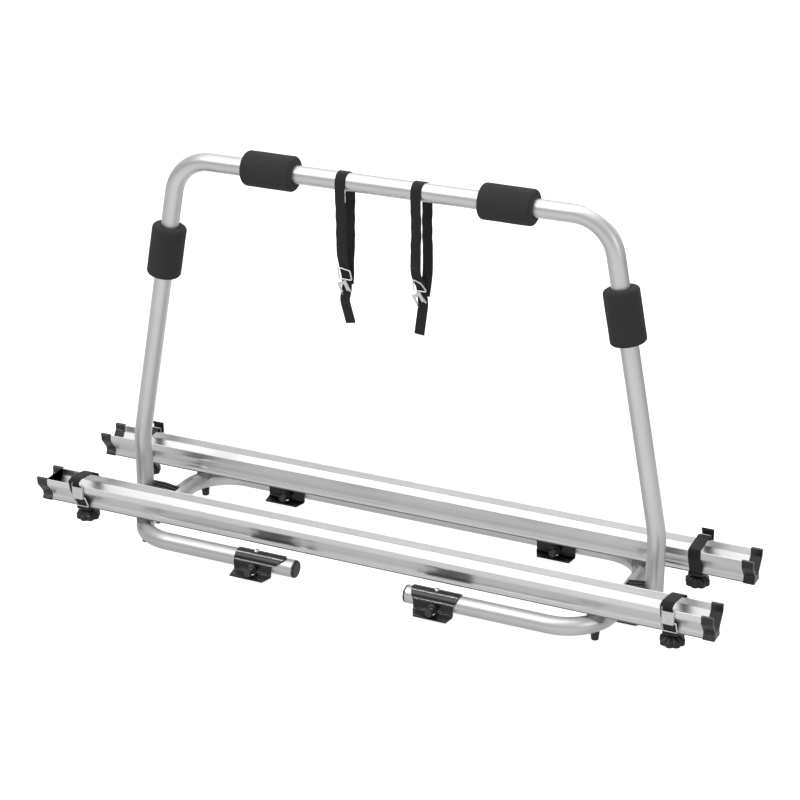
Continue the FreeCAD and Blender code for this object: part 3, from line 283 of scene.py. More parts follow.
finishes = {
    "anodisedTube": finish("#DEDEDE", 1.0, 0.37, 1.4, 0.05),
    # below the lip height, 54.1 mm, the rail is painted darker: painted shade along its foot
    "anodisedRail": finish("#EEEEEE", 1.0, 0.33, 1.0, 0.04, lip=54.1, lipColour="#8A8B8C",
                           stretch=(0.02, 1, 1)),  # drawn lines run along the rail
    "castAluminium": finish("#8C8E90", 1.0, 0.55, 1.5, 0.2),
    "stampedSteel": finish("#E2E2E2", 1.0, 0.36, 2.0, 0.05),
    "platedWire": finish("#F0F0F0", 1.0, 0.3, 2.0, 0.02),
    "brightZinc": finish("#BEC0C0", 1.0, 0.3, 2.0, 0.05),
    "blackZinc": finish("#48484A", 0.9, 0.42, 1.0, 0.08),
    "blackPowderCoat": finish("#0B0B0C", 0.0, 0.2, 2.2, 0.12),
    "mouldedCap": finish("#1F2021", 0.0, 0.3, 0.9, 0.15),
    "mouldedFoot": finish("#1C1C1E", 0.0, 0.42, 1.2, 0.2),
    "mouldedKnob": finish("#161617", 0.0, 0.36, 2.4, 1.0),
    "closedCellFoam": finish("#39393A", 0.0, 0.92, 1.3, 0.45),
}
slotFinish = {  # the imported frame's material slots
    "tube_aluminium": "anodisedTube", "rail_aluminium": "anodisedRail",
    "saddle_aluminium": "castAluminium", "buckle_wire": "platedWire",
    "buckle_plate": "stampedSteel", "bright_zinc": "brightZinc", "black_zinc": "blackZinc",
    "bracket_paint": "blackPowderCoat", "cap_plastic": "mouldedCap", "plug_plastic": "mouldedCap",
    "foot_plastic": "mouldedFoot", "nut_plastic": "mouldedFoot", "carrier_plastic": "mouldedFoot",
    "knob_plastic": "mouldedKnob", "foam": "closedCellFoam", "webbing": "wovenPolyester",
}
wear = {"roughness": 0.12, "colour": 0.06, "lift": 0.002, "clouds": 9.0, "grainDepth": 0.3}


def newMaterial(name):
    material = bpy.data.materials.new(name)
    material.use_nodes = True
    material.node_tree.nodes.clear()
    return material.node_tree


def outputOf(tree):
    return addNode(tree, "ShaderNodeOutputMaterial")


def grainMaterial(name):
    # a finish with fine grain in Object coordinates: the grain tilts the surface a little and
    # moves its roughness, and a slow cloud of it shifts the colour as handling and light wear do
    look = finishes[name]
    tree = newMaterial(name)
    place = addNode(tree, "ShaderNodeTexCoord").outputs["Object"]
    spread = addNode(tree, "ShaderNodeMapping", {"Scale": look.get("stretch", (1, 1, 1))},
                     {"Vector": place})
    grain = addNode(tree, "ShaderNodeTexNoise",
                    {"Scale": 1 / (look["grain"] * mm), "Detail": 3.0, "Roughness": 0.6},
                    {"Vector": spread.outputs[0]})
    cloud = addNode(tree, "ShaderNodeTexNoise", {"Scale": wear["clouds"], "Detail": 2.0},
                    {"Vector": place})
    rough = addNode(tree, "ShaderNodeMapRange",
                    {"From Min": 0.3, "From Max": 0.7,
                     "To Min": look["roughness"] * (1 - wear["roughness"]),
                     "To Max": look["roughness"] * (1 + wear["roughness"])},
                    {"Value": grain.outputs["Fac"]})
    base = np.array(linear(look["colour"])[:3])
    handled = (*(base * (1 - wear["colour"])).tolist(), 1.0)
    worn = (*np.minimum(base * (1 + wear["colour"]) + wear["lift"], 1).tolist(), 1.0)
    colour = addNode(tree, "ShaderNodeMix", {"data_type": "RGBA", 6: handled, 7: worn},
                     {0: cloud.outputs["Fac"]})
    if "lip" in look:
        # below the lip's height the rail's foot is painted darker: painted shade along its lowest edge
        height = addNode(tree, "ShaderNodeSeparateXYZ", {}, {0: place}).outputs["Z"]
        above = addNode(tree, "ShaderNodeMath",
                        {"operation": "GREATER_THAN", 1: look["lip"] * mm}, {0: height})
        colour = addNode(tree, "ShaderNodeMix", {"data_type": "RGBA", 6: linear(look["lipColour"])},
                         {0: above.outputs[0], 7: colour.outputs[2]})
    bump = addNode(tree, "ShaderNodeBump",
                   {"Strength": look["bump"], "Distance": wear["grainDepth"] * mm},
                   {"Height": grain.outputs["Fac"]})
    shader = addNode(tree, "ShaderNodeBsdfPrincipled", {"Metallic": look["metallic"]},
                     {"Base Color": colour.outputs[2], "Roughness": rough.outputs[0],
                      "Normal": bump.outputs[0]})
    tree.links.new(shader.outputs[0], outputOf(tree).inputs["Surface"])
    return bpy.data.materials[name]


weave = {
    "colour": "#161617", "thread": "#242426", "seam": "#0B0B0C", "roughness": 0.78, "bump": 0.6,
    "floatLength": 2.4, "floatWidth": 1.1, "seamWidth": 0.16, "depth": 0.25,  # millimetres
    "fuzz": 2.2, "sheen": 0.25, "sheenRoughness": 0.4,
}


def webbingMaterial():
    # woven polyester webbing: rows of short yarn floats, each row half a float on from the last.
    # The UV map is in millimetres along and across the strap; real yarns are finer than drawn.
    tree = newMaterial("wovenPolyester")
    uv = addNode(tree, "ShaderNodeUVMap", {"uv_map": "strapMillimetres"}).outputs[0]
    floats = addNode(tree, "ShaderNodeTexBrick",
                     {"Scale": 1.0, "Mortar Size": weave["seamWidth"], "Mortar Smooth": 1.0,
                      "Brick Width": weave["floatLength"], "Row Height": weave["floatWidth"],
                      "Color1": linear(weave["thread"]), "Color2": linear(weave["colour"]),
                      "Mortar": linear(weave["seam"])},
                     {"Vector": uv})
    fuzz = addNode(tree, "ShaderNodeTexNoise", {"Scale": weave["fuzz"], "Detail": 3.0},
                   {"Vector": uv})
    height = addNode(tree, "ShaderNodeMath", {"operation": "MULTIPLY_ADD", 1: -1.0},
                     {0: floats.outputs["Fac"], 2: fuzz.outputs["Fac"]})
    bump = addNode(tree, "ShaderNodeBump",
                   {"Strength": weave["bump"], "Distance": weave["depth"] * mm},
                   {"Height": height.outputs[0]})
    shader = addNode(tree, "ShaderNodeBsdfPrincipled",
                     {"Roughness": weave["roughness"], "Sheen Weight": weave["sheen"],
                      "Sheen Roughness": weave["sheenRoughness"]},
                     {"Base Color": floats.outputs["Color"], "Normal": bump.outputs[0]})
    tree.links.new(shader.outputs[0], outputOf(tree).inputs["Surface"])
    return bpy.data.materials["wovenPolyester"]


# Surfaces

def roundedLine(points, closed=False, step=7.0):
    # straight runs between corners, each (x, y, radius) corner swapped for the arc that touches
    # both runs: it starts radius * tan(half the turn) before the corner, a point every step degrees
    made = []
    count = len(points)
    for i, point in enumerate(points):
        here = np.array(point[:2], float)
        if len(point) < 3 or (not closed and i in (0, count - 1)):
            made.append(here[None])
            continue
        before = np.array(points[i - 1][:2], float) - here
        after = np.array(points[(i + 1) % count][:2], float) - here
        before /= np.linalg.norm(before)
        after /= np.linalg.norm(after)
        turn = math.pi - math.acos(np.clip(before @ after, -1, 1))
        trim = point[2] * math.tan(turn / 2)
        middle = before + after
        centre = here + middle / np.linalg.norm(middle) * math.hypot(trim, point[2])
        first, last = here + before * trim - centre, here + after * trim - centre
        steps = max(2, round(math.degrees(turn) / step) + 1)
        share = np.linspace(0, 1, steps)[:, None]
        arc = (np.sin((1 - share) * turn) * first + np.sin(share * turn) * last) / math.sin(turn)
        made.append(centre + arc)
    return np.concatenate(made)


def strung(line, spacing):
    # more points along a line, none further apart than the spacing, all old points kept
    runs = np.linalg.norm(np.diff(line, axis=0), axis=1)
    extra = [np.linspace(a, b, max(1, math.ceil(r / spacing)), endpoint=False)
             for a, b, r in zip(line[:-1], line[1:], runs)]
    return np.concatenate(extra + [line[-1:]])


def runAlong(line):
    # the distance run at each point of a line
    return np.concatenate([[0], np.cumsum(np.linalg.norm(np.diff(line, axis=0), axis=1))])


def swept(path, section, across):
    # a section carried along a path: across is its first axis, and the path's normal, the cross
    # product of across and the path's direction, is its second
    along = np.gradient(path, axis=0)
    along /= np.linalg.norm(along, axis=1, keepdims=True)
    across = np.broadcast_to(np.array(across, float), path.shape)
    across = across - along * (across * along).sum(1, keepdims=True)
    across = across / np.linalg.norm(across, axis=1, keepdims=True)
    normal = np.cross(across, along)
    section = np.broadcast_to(section, (len(path), *section.shape[-2:]))
    return path[:, None] + across[:, None] * section[..., :1] + normal[:, None] * section[..., 1:]


def turned(profile, sides=64, lobes=None):
    # a profile of (radius, height) rows turned about z; lobes(angle, radius) may move each radius
    angle = np.linspace(0, 2 * math.pi, sides, endpoint=False)
    radius = profile[:, :1] * np.ones(sides)
    if lobes is not None:
        radius = lobes(angle[None], profile[:, :1])
    return np.stack([radius * np.cos(angle), radius * np.sin(angle),
                     profile[:, 1:] * np.ones(sides)], -1)


def gridQuads(rows, columns, closedRows=False, closedColumns=False):
    # the four corners of each face of a grid, closed on itself where told
    i = np.arange(rows if closedRows else rows - 1)[:, None]
    j = np.arange(columns if closedColumns else columns - 1)[None]
    below, beside = (i + 1) % rows, (j + 1) % columns
    return np.stack([i * columns + j, i * columns + beside, below * columns + beside,
                     below * columns + j], -1).reshape(-1, 4)


def buildPiece(name, shells, materials, sharp=35.0, uvs=None):
    # each shell is a grid of points whose columns close on themselves; its first and last rows
    # are filled, a ring's are joined, and rows that meet in a point are merged
    points, faces, kinds, first = [], [], [], 0
    for shell in shells:
        grid = shell["grid"]
        rows, columns = grid.shape[:2]
        ring = shell.get("ring", False)
        added = (gridQuads(rows, columns, ring, True) + first).tolist()
        if not ring:
            added.append(list(range(first + columns - 1, first - 1, -1)))
            added.append(list(range(first + (rows - 1) * columns, first + rows * columns)))
        faces += added
        kinds += [shell.get("material", 0)] * len(added)
        points.append(grid.reshape(-1, 3))
        first += rows * columns
    mesh = bpy.data.meshes.new(name)
    mesh.from_pydata(np.concatenate(points).tolist(), [], faces)
    mesh.polygons.foreach_set("material_index", kinds)
    if uvs is not None:
        layer = mesh.uv_layers.new(name="strapMillimetres")
        corner = np.zeros(len(mesh.loops), int)
        mesh.loops.foreach_get("vertex_index", corner)
        layer.data.foreach_set("uv", uvs[corner].astype(np.float32).ravel())
    return finishMesh(name, mesh, materials, sharp)


def finishMesh(name, mesh, materials, sharp):
    # merges doubles, turns every face outwards and shades smooth up to the sharp angle
    work = bmesh.new()
    work.from_mesh(mesh)
    bmesh.ops.remove_doubles(work, verts=work.verts, dist=weld)
    bmesh.ops.recalc_face_normals(work, faces=work.faces)
    work.to_mesh(mesh)
    work.free()
    mesh.polygons.foreach_set("use_smooth", [True] * len(mesh.polygons))
    mesh.set_sharp_from_angle(angle=math.radians(sharp))
    for material in materials:
        mesh.materials.append(material)
    piece = bpy.data.objects.new(name, mesh)
    scene.collection.objects.link(piece)
    return piece


softening = {"weld": 2e-6, "flatAngle": 0.6, "sharpAngle": 32.0, "segments": 2}  # metres, degrees


def softenedCopy(node, name, material, edge):
    # the node's own triangles merged to whole faces, then every sharp edge rounded to a radius
    p = softening
    source = frame["nodes"][node].data
    work = bmesh.new()
    work.from_mesh(source)
    bmesh.ops.remove_doubles(work, verts=work.verts, dist=p["weld"])
    bmesh.ops.dissolve_limit(work, angle_limit=math.radians(p["flatAngle"]), verts=work.verts,
                             edges=work.edges)
    mesh = bpy.data.meshes.new(name)
    work.to_mesh(mesh)
    work.free()
    for layer in [a.name for a in mesh.attributes if "normal" in a.name]:
        mesh.attributes.remove(mesh.attributes[layer])
    mesh.materials.clear()
    piece = finishMesh(name, mesh, [material], p["sharpAngle"])
    rounding = piece.modifiers.new("edgeRadius", "BEVEL")
    rounding.width = edge * mm
    rounding.segments = p["segments"]
    rounding.limit_method = "ANGLE"
    rounding.angle_limit = math.radians(p["sharpAngle"])
    rounding.harden_normals = True
    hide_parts(node)
    return piece


def dress(piece, body):
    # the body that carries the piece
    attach(piece, body)


# Foam pads

tubeRadius = 16.0  # of the hoop and the base frame, in millimetres
foamPad = {  # millimetres and degrees
    "outerRadius": 31, "boreRadius": 16.3, "length": 95, "endRadius": 6.5, "boreEdge": 1.2,
    "slitAngle": 11, "slitEdge": 2.0, "columns": 84, "spacing": 6,
    "ripple": 0.25, "rippleFade": 6, "rippleLong": 0.07, "rippleShort": 0.11, "seedStep": 1.7,
    "legRun": 102, "legRise": 543.4,  # the hoop's legs lean inward this far over this height
}


def foamPadGrid(seed):
    # a ring section (length, radius) with round corners, turned from one lip of the slit to the
    # other; near each lip the section shrinks on a quarter circle, and slow waves stir the skin
    p = foamPad
    half = p["length"] / 2
    section = roundedLine([(-half, p["boreRadius"], p["boreEdge"]),
                           (half, p["boreRadius"], p["boreEdge"]),
                           (half, p["outerRadius"], p["endRadius"]),
                           (-half, p["outerRadius"], p["endRadius"])], closed=True, step=12)
    section = strung(np.concatenate([section, section[:1]]), p["spacing"])[:-1]
    gap = math.radians(p["slitAngle"] / 2)
    middleRadius = (p["outerRadius"] + p["boreRadius"]) / 2
    lip = p["slitEdge"] / middleRadius
    entry = np.linspace(0, math.pi / 2, 5)[:-1]
    angles = np.concatenate([gap + lip * (1 - np.cos(entry)),
                             np.linspace(gap + lip, 2 * math.pi - gap - lip, p["columns"]),
                             2 * math.pi - gap - lip * (1 - np.cos(entry[::-1]))])
    inset = np.concatenate([1 - np.sin(entry), np.zeros(p["columns"]), 1 - np.sin(entry[::-1])])
    inset *= p["slitEdge"]
    along, radius = section[None, :, 0], section[None, :, 1]
    a = angles[:, None]
    share = 1 - inset[:, None] / ((p["outerRadius"] - p["boreRadius"]) / 2)
    radius = middleRadius + (radius - middleRadius) * share
    along = along * (1 - inset[:, None] / half)
    wave = (np.sin(3 * a + seed) + np.sin(along * p["rippleShort"] + 2 * a + 2 * seed)
            + np.sin(5 * a - along * p["rippleLong"])) / 3
    outside = np.clip((radius - middleRadius) / p["rippleFade"], 0, 1)
    radius = radius + wave * outside * p["ripple"]
    return np.stack([along * np.ones_like(a), radius * np.cos(a), radius * np.sin(a)], -1) * mm


def makeFoamPads(foam):
    lean = math.atan2(foamPad["legRun"], foamPad["legRise"])
    sides = {"bar_left": 0, "bar_right": 0, "leg_left": 1, "leg_right": -1}  # 1 leans to the right
    for number, (name, side) in enumerate(sides.items()):
        grid = foamPadGrid(number * foamPad["seedStep"])
        if side:
            # the pad's length runs up the leg, which leans toward the middle of the rack
            up = np.array([math.sin(lean) * side, 0, math.cos(lean)])
            out = np.array([math.cos(lean), 0, -math.sin(lean) * side])
            grid = grid[..., :1] * up + grid[..., 1:2] * np.array([0, 1, 0]) + grid[..., 2:] * out
        grid = grid + middleOf(f"foam_pad_{name}") * mm
        pad = buildPiece(f"foamPad_{name}", [{"grid": grid}], [foam], sharp=60)
        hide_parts(f"foam_pad_{name}")
        dress(pad, "rack")


# Straps

webbing = {
    "width": 22.0, "thickness": 1.9, "upperWidth": 19.0, "upperThickness": 1.7,
    "edge": 0.7, "spacing": 2.0, "upperSpacing": 4.0, "sectionSpacing": 2.5,
}


def strapSection(width, thickness):
    # across and through the webbing: a flat oblong with rounded selvedges
    w, t, r = width / 2, thickness / 2, webbing["edge"]
    line = roundedLine([(-w, -t, r), (w, -t, r), (w, t, r), (-w, t, r)], closed=True, step=30)
    return strung(np.concatenate([line, line[:1]]), webbing["sectionSpacing"])[:-1]


def strapMesh(name, paths, width, thickness, cloth, body):
    # a strap's bands run along their paths (millimetres) with their width along x; the UV map
    # holds millimetres along the path and across the webbing
    section = strapSection(width, thickness)
    shells, uvs = [], []
    for path in paths:
        shells.append({"grid": swept(path, section, (1, 0, 0)) * mm})
        across = section[None, :, 0]
        uvs.append(np.stack(np.broadcast_arrays(runAlong(path)[:, None], across), -1).reshape(-1, 2))
    piece = buildPiece(name, shells, [cloth], sharp=50, uvs=np.concatenate(uvs))
    dress(piece, body)
    return piece


wheelStrap = {
    # how far the band leans sideways at the buckle's lip and at the other one
    "lean": {"front_left": (-9, -2), "front_right": (-4, 2.5),
             "back_left": (0, 0), "back_right": (0, 0)},
    "leanStart": 12, "lipRun": 59.8,  # where the lean starts and is reached, along the band
    # half widths and heights over the rail's foot
    "footHalf": 14.9, "foot": -2.8, "start": 0.7, "wallHalf": 28.8, "shoulder": 35,
    "lip": 49.8, "crownHalf": 14.4, "crown": 57.8,
    "buckleLip": 53.5, "buckleCrownHalf": 20, "buckleCrown": 58.4,
    "backRise": 54.5, "backLip": 50.4,
    "tail": [(-35.2, 38), (-35.6, 50), (-35.2, 63.2, 1), (-32.5, 64.8, 1), (-31.2, 61)],
    "tailShift": 3.5,
}


def makeWheelStraps(cloth):
    # one band in the rail's own section: out of the carrier, up the wall under the buckle, over
    # the trough and down; a corner's third number is its radius
    p = wheelStrap
    wall = [(-p["footHalf"], p["foot"]), (-p["footHalf"], p["start"], 3),
            (-p["wallHalf"], p["shoulder"], 8)]
    far = [(-y, *rest) for y, *rest in reversed(wall)]
    overTyre = {
        "front": [(-p["wallHalf"], p["buckleLip"], 6), (-p["buckleCrownHalf"], p["buckleCrown"], 10),
                  (p["crownHalf"], p["crown"], 30), (p["wallHalf"], p["lip"], 5)],
        "back": [(-p["wallHalf"], p["backRise"], 4), (p["wallHalf"], p["backLip"], 4)],
    }
    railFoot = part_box("wheel_rail_front")[0].z / mm
    for end, side in corners:
        name = f"{end}_{side}"
        toBuckle = -1 if end == "back" else 1
        middleX, middleY, _ = middleOf(f"strap_carrier_{name}")
        line = strung(roundedLine(wall + overTyre[end] + far), webbing["spacing"])
        run = runAlong(line)
        lean = np.interp(run, [p["leanStart"], p["lipRun"], run[-1] - p["lipRun"],
                               run[-1] - p["leanStart"]], [0, *p["lean"][name], 0])
        paths = [np.stack([middleX + lean, middleY + toBuckle * line[:, 0], line[:, 1] + railFoot], 1)]
        if end == "back":
            # the free end stands up behind the lever and is folded over at its top
            tail = strung(roundedLine(p["tail"]), webbing["spacing"])
            paths.append(np.stack([np.full(len(tail), middleX + p["tailShift"]),
                                   middleY + toBuckle * tail[:, 0], tail[:, 1] + railFoot], 1))
        piece = strapMesh(f"wheelStrap_{name}", paths, webbing["width"], webbing["thickness"], cloth,
                          f"strap_{name}")
        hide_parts(f"wheel_strap_{name}")


# The frame straps hang a little aslant: the bands' x at each height over the ground, the buckle
# ring's outline (a corner's third number is its radius) and the lever's tilt in degrees
upperStraps = {
    "left": {
        "body": "hanging_strap_left", "tilt": -24,
        "front": [(722, -77.8), (640, -77.4), (586, -78), (577, -80), (563, -81.5), (548, -79.3),
                  (536, -76)],
        "tail": [(512, -75), (491, -80.3), (449, -68.5)],
        "back": [(722, -77.8), (704, -74.4), (640, -74.8), (586, -74.8), (560, -76), (535, -73),
                 (521, -73)],
        "ring": [(-75, 529.8), (-87, 529.8, 2), (-90.5, 550, 3), (-67, 546.5, 6), (-63.5, 529.8, 2),
                 (-75, 529.8)],
    },
    "right": {
        "body": "hanging_strap_right", "tilt": -32,
        "front": [(722, 63), (640, 63.6), (586, 61.3), (564, 56.5), (552, 57), (540, 65)],
        "tail": [(520, 68), (505, 69.5), (449, 62)],
        "back": [(722, 63), (704, 69.5), (640, 70), (586, 72), (558, 72.6), (536, 72.5), (518, 70.8)],
        "ring": [(66, 529.8), (54, 529.8, 2), (51.5, 549.5, 3), (68, 543, 8), (78.5, 529.8, 2),
                 (66, 529.8)],
    },
}
upperLoop = {
    "reach": 17.3, "underBar": 12,  # the webbing's middle from the bar's, and where it leaves it
    # the loop seen from the side: y and height, the tail's end first
    "front": [(1.0, 449), (1.0, 493), (1.0, 530), (-0.4, 552), (-1.6, 562), (-9, 577), (-13.6, 592),
              (-14.8, 640)],
    "back": [(14.8, 640), (14, 586), (12, 560), (6, 535), (3.2, 520)],
    "ease": (1, 2, 3, 2, 1),  # weights that soften the bends
    # small waves where the two halves hang free: depth, turns per millimetre, shift between halves
    "wave": 0.9, "waveTurn": 0.21, "waveShift": 1.3, "freeFrom": 585, "freeTo": 15, "freeFade": 25,
}


def bandX(rows, z):
    # x at each height, straight between the given rows
    heights, values = np.array(rows, float)[::-1].T
    return np.interp(z, heights, values)


def eased(values):
    # each value swapped for the weighted mean of itself and its neighbours
    weights = np.array(upperLoop["ease"])
    return np.convolve(np.pad(values, 2, mode="edge"), weights / weights.sum(), "valid")


def makeUpperStraps(cloth):
    # a loop over the bar: up the front, round the tube, down the back to the join, then one tail
    q = upperLoop
    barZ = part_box("hoop_tube")[1].z / mm - tubeRadius
    arc = np.linspace(math.pi, 0, 25)
    over = np.stack([np.cos(arc) * q["reach"], barZ + np.sin(arc) * q["reach"]], 1)
    edge = barZ - q["underBar"]
    line = strung(np.concatenate([q["front"], [(-q["reach"], edge)], over, [(q["reach"], edge)],
                                  q["back"]]), webbing["upperSpacing"])
    smooth = np.stack([eased(line[:, 0]), eased(line[:, 1])], 1)
    smooth[0], smooth[-1] = line[0], line[-1]
    y, z = smooth.T
    atFront = np.arange(len(z)) < int(np.argmax(z))
    free = (np.clip((z - q["freeFrom"]) / q["freeFade"], 0, 1)
            * np.clip((barZ - q["freeTo"] - z) / q["freeFade"], 0, 1))
    y = y + free * q["wave"] * np.sin(z * q["waveTurn"] + atFront * q["waveShift"])
    for side, p in upperStraps.items():
        x = eased(np.where(atFront, bandX(p["front"] + p["tail"], z), bandX(p["back"], z)))
        path = np.stack([x, y, z], 1)
        piece = strapMesh(f"frameStrap_{side}", [path], webbing["upperWidth"],
                          webbing["upperThickness"], cloth, p["body"])
        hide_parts(f"upper_strap_{side}")


upperRing = {"wire": 2.6, "y": -3.93, "sides": 16, "step": 15, "spacing": 0.8}


def makeUpperRings(wire):
    # a round wire along a closed line in the plane of x and z: each row is a circle that stands
    # square to the line's direction there
    p = upperRing
    angle = np.linspace(0, 2 * math.pi, p["sides"], endpoint=False)[None]
    for side, strap in upperStraps.items():
        line = strung(roundedLine(strap["ring"], step=p["step"]), p["spacing"])[:-1]
        along = np.roll(line, -1, 0) - np.roll(line, 1, 0)
        along /= np.linalg.norm(along, axis=1, keepdims=True)
        across = np.stack([-along[:, 1], along[:, 0]], 1)[:, None] * np.cos(angle)[..., None]
        flat = line[:, None] + across * p["wire"] / 2
        y = np.broadcast_to(p["y"] + p["wire"] / 2 * np.sin(angle), flat.shape[:2])
        grid = np.stack([flat[..., 0], y, flat[..., 1]], -1)
        piece = buildPiece(f"buckleRing_upper_{side}", [{"grid": grid * mm, "ring": True}], [wire],
                           sharp=60)
        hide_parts(f"upper_buckle_ring_{side}")
        dress(piece, strap["body"])


# Buckle levers

lever = {
    "width": 22.0, "sheet": 1.2, "plateTop": 22.0, "cheekTop": 28.0, "bottom": -1.5,
    "bend": 1.8, "plateOut": 5.2, "cheekBack": 0.6, "rows": 29,
    "dimple": 0.9, "dimpleRadius": 2.6, "dimpleHeight": 6.0, "curl": 0.8, "curlHeight": 3,
    "eye": 1.63,  # from the edges of the lever's box to the ring's bar
    # the frame straps' levers: smaller, hung lower, forked above a height
    "upperShare": 0.78, "upperDrop": 15.5, "fork": 5.0, "forkStart": 7.0,
}


def leverGrid(plateTop):
    # a folded sheet: u runs round the U of cheek, plate and cheek, v up it; the cheeks stand
    # higher than the plate, whose top edge curls out, and a round dimple is pressed into it
    p = lever
    half = p["width"] / 2 - p["sheet"] / 2
    fold = roundedLine([(-half, -p["cheekBack"]), (-half, -p["plateOut"], p["bend"]),
                        (half, -p["plateOut"], p["bend"]), (half, -p["cheekBack"])], step=15)
    fold = strung(fold, 1.0)
    x, y = fold[:, 0][:, None], fold[:, 1][:, None]
    v = np.linspace(0, 1, p["rows"])[None]
    cheek = np.clip((y + p["plateOut"]) / p["bend"], 0, 1)
    cheek = cheek * cheek * (3 - 2 * cheek)
    top = plateTop + (p["cheekTop"] - plateTop) * cheek
    z = p["bottom"] + (top - p["bottom"]) * v
    r = np.hypot(x, z - p["dimpleHeight"])
    press = p["dimple"] * np.exp(-(r / p["dimpleRadius"]) ** 2) * (1 - cheek)
    rise = np.clip((z - plateTop) / p["curlHeight"] + 1, 0, 1)
    curl = p["curl"] * rise ** 2 * (1 - cheek)
    return np.stack([x + 0 * z, y + press - curl + 0 * z, z], -1)


def buildLever(node, name, grid, quads, origin, steel, body):
    # the sheet's middle surface, thickened to both sides
    mesh = bpy.data.meshes.new(name)
    mesh.from_pydata((grid.reshape(-1, 3) * mm + np.array(origin)).tolist(), [], quads.tolist())
    piece = finishMesh(name, mesh, [steel], 40)
    wall = piece.modifiers.new("sheet", "SOLIDIFY")
    wall.thickness = lever["sheet"] * mm
    wall.offset = 0
    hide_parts(node)
    dress(piece, body)


def makeLevers(steel):
    p = lever
    eye = p["eye"] * mm
    for end, side in corners:
        node = f"wheel_buckle_lever_{end}_{side}"
        low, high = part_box(node)
        grid = leverGrid(p["cheekTop"] if end == "back" else p["plateTop"])
        if end == "back":
            grid[..., 1] *= -1
        bar = low.y + eye if end == "back" else high.y - eye
        buildLever(node, f"buckleLever_wheel_{end}_{side}", grid, gridQuads(*grid.shape[:2]),
                   ((low.x + high.x) / 2, bar, low.z + eye), steel, f"lever_{end}_{side}")
    for side, strap in upperStraps.items():
        node = f"upper_buckle_lever_{side}"
        low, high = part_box(node)
        grid = leverGrid(p["plateTop"])
        # a fork: the plate is open where the strap's tail comes out
        quads = gridQuads(*grid.shape[:2])
        middle = grid.reshape(-1, 3)[quads].mean(1)
        quads = quads[(abs(middle[:, 0]) > p["fork"]) | (middle[:, 2] < p["forkStart"])]
        # upside down and tilted about y
        tilt = math.radians(strap["tilt"])
        x, z = grid[..., 0] * p["upperShare"], -grid[..., 2] * p["upperShare"]
        grid = np.stack([x * math.cos(tilt) + z * math.sin(tilt), grid[..., 1],
                         z * math.cos(tilt) - x * math.sin(tilt)], -1)
        centre = (grid.max((0, 1)) + grid.min((0, 1))) / 2
        grid[..., (0, 2)] -= centre[[0, 2]]
        buildLever(node, f"buckleLever_upper_{side}", grid, quads,
                   ((low.x + high.x) / 2, high.y - eye, high.z - p["upperDrop"] * mm),
                   steel, f"hanging_lever_{side}")


# Hand knobs

knob = {
    "outer": 22.0, "valley": 18.6, "lobes": 8, "lobePower": 0.55, "height": 12.0, "edge": 2.4,
    "collar": 11.0, "collarHeight": 10.5, "neck": 0.3,  # the share of the collar above its cone
    "slope": 1.2, "recess": 7.0, "recessDepth": 1.2, "sides": 192, "spacing": 1.2,
}


def knobLobes(angle, radius):
    # the rim swells into round lobes; toward the collar and the middle they fade out
    p = knob
    lobe = (0.5 + 0.5 * np.cos(p["lobes"] * angle)) ** p["lobePower"]
    share = np.clip((radius - p["collar"]) / (p["outer"] - p["collar"]), 0, 1)
    rim = p["valley"] + (p["outer"] - p["valley"]) * lobe
    lobed = p["collar"] + (rim - p["collar"]) * share
    return np.where(radius > p["collar"] + 0.01, lobed, radius + 0 * angle)


def makeKnobs(plastic):
    p = knob
    top = -p["collarHeight"]
    bottom = top - p["height"]
    floor = bottom + p["recessDepth"]
    profile = roundedLine([(0, 0), (p["collar"], 0, 0.8), (p["collar"], top * p["neck"], 0.9),
                           (p["outer"], top - p["slope"], p["edge"]), (p["outer"], bottom, p["edge"]),
                           (p["recess"], bottom, 1.0), (p["recess"], floor, 0.8), (0, floor)], step=15)
    grid = turned(strung(profile, p["spacing"]), p["sides"], knobLobes)
    for end, side in corners:
        name = f"{end}_{side}"
        x, y, _ = middleOf(f"strap_knob_{name}") * mm
        place = np.array([x, y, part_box(f"strap_knob_{name}")[1].z])
        piece = buildPiece(f"handKnob_{name}", [{"grid": grid * mm + place}], [plastic], sharp=55)
        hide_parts(f"strap_knob_{name}")
        dress(piece, f"knob_{name}")


# Bracket fasteners

fastener = {
    # the clamp bolt lies below the tube's middle, its tip and the bracket's wall are measured from
    # there along y, and its head stands at its reach beyond the wall
    "flats": 13.0, "head": 5.0, "reach": 14.0, "drop": 8.0, "tip": 15.49,
    "shank": 4.0, "pitch": 1.25, "threadDepth": 0.5, "chamferSlope": 1.6, "chamferFoot": 0.1,
    "bossRadius": 9.0, "boss": 3.0, "outerRadius": 18.8,
    # the domed screw on top: head, hidden stub and hexagon socket's radius and depth
    "screwHead": 10.0, "screwHeight": 3.6, "dome": 2.9, "stub": 2.5, "stubDepth": 2.2, "socket": 1.6,
}


def hexGrid(height, flats):
    # a hexagon whose top corners are cut by a cone: each radius is the smaller of the two
    p = fastener
    sides = 72
    angle = np.linspace(0, 2 * math.pi, sides, endpoint=False)
    wedge = np.abs((angle + math.pi / 6) % (math.pi / 3) - math.pi / 6)
    flat = (flats / 2) / np.cos(wedge)
    # shares of the height, close together where the cone cuts
    levels = np.array([0, 0.06, 0.12, 0.5, 0.82, 0.88, 0.94, 1.0]) * height
    cone = flats / 2 + (height - levels) * p["chamferSlope"] - p["chamferFoot"]
    radius = np.minimum(flat[None], cone[:, None])
    grid = np.stack([radius * np.cos(angle), radius * np.sin(angle),
                     levels[:, None] * np.ones(sides)], -1)
    foot, top = np.zeros((1, sides, 3)), np.zeros((1, sides, 3))
    top[..., 2] = height
    return np.concatenate([foot, grid, top])


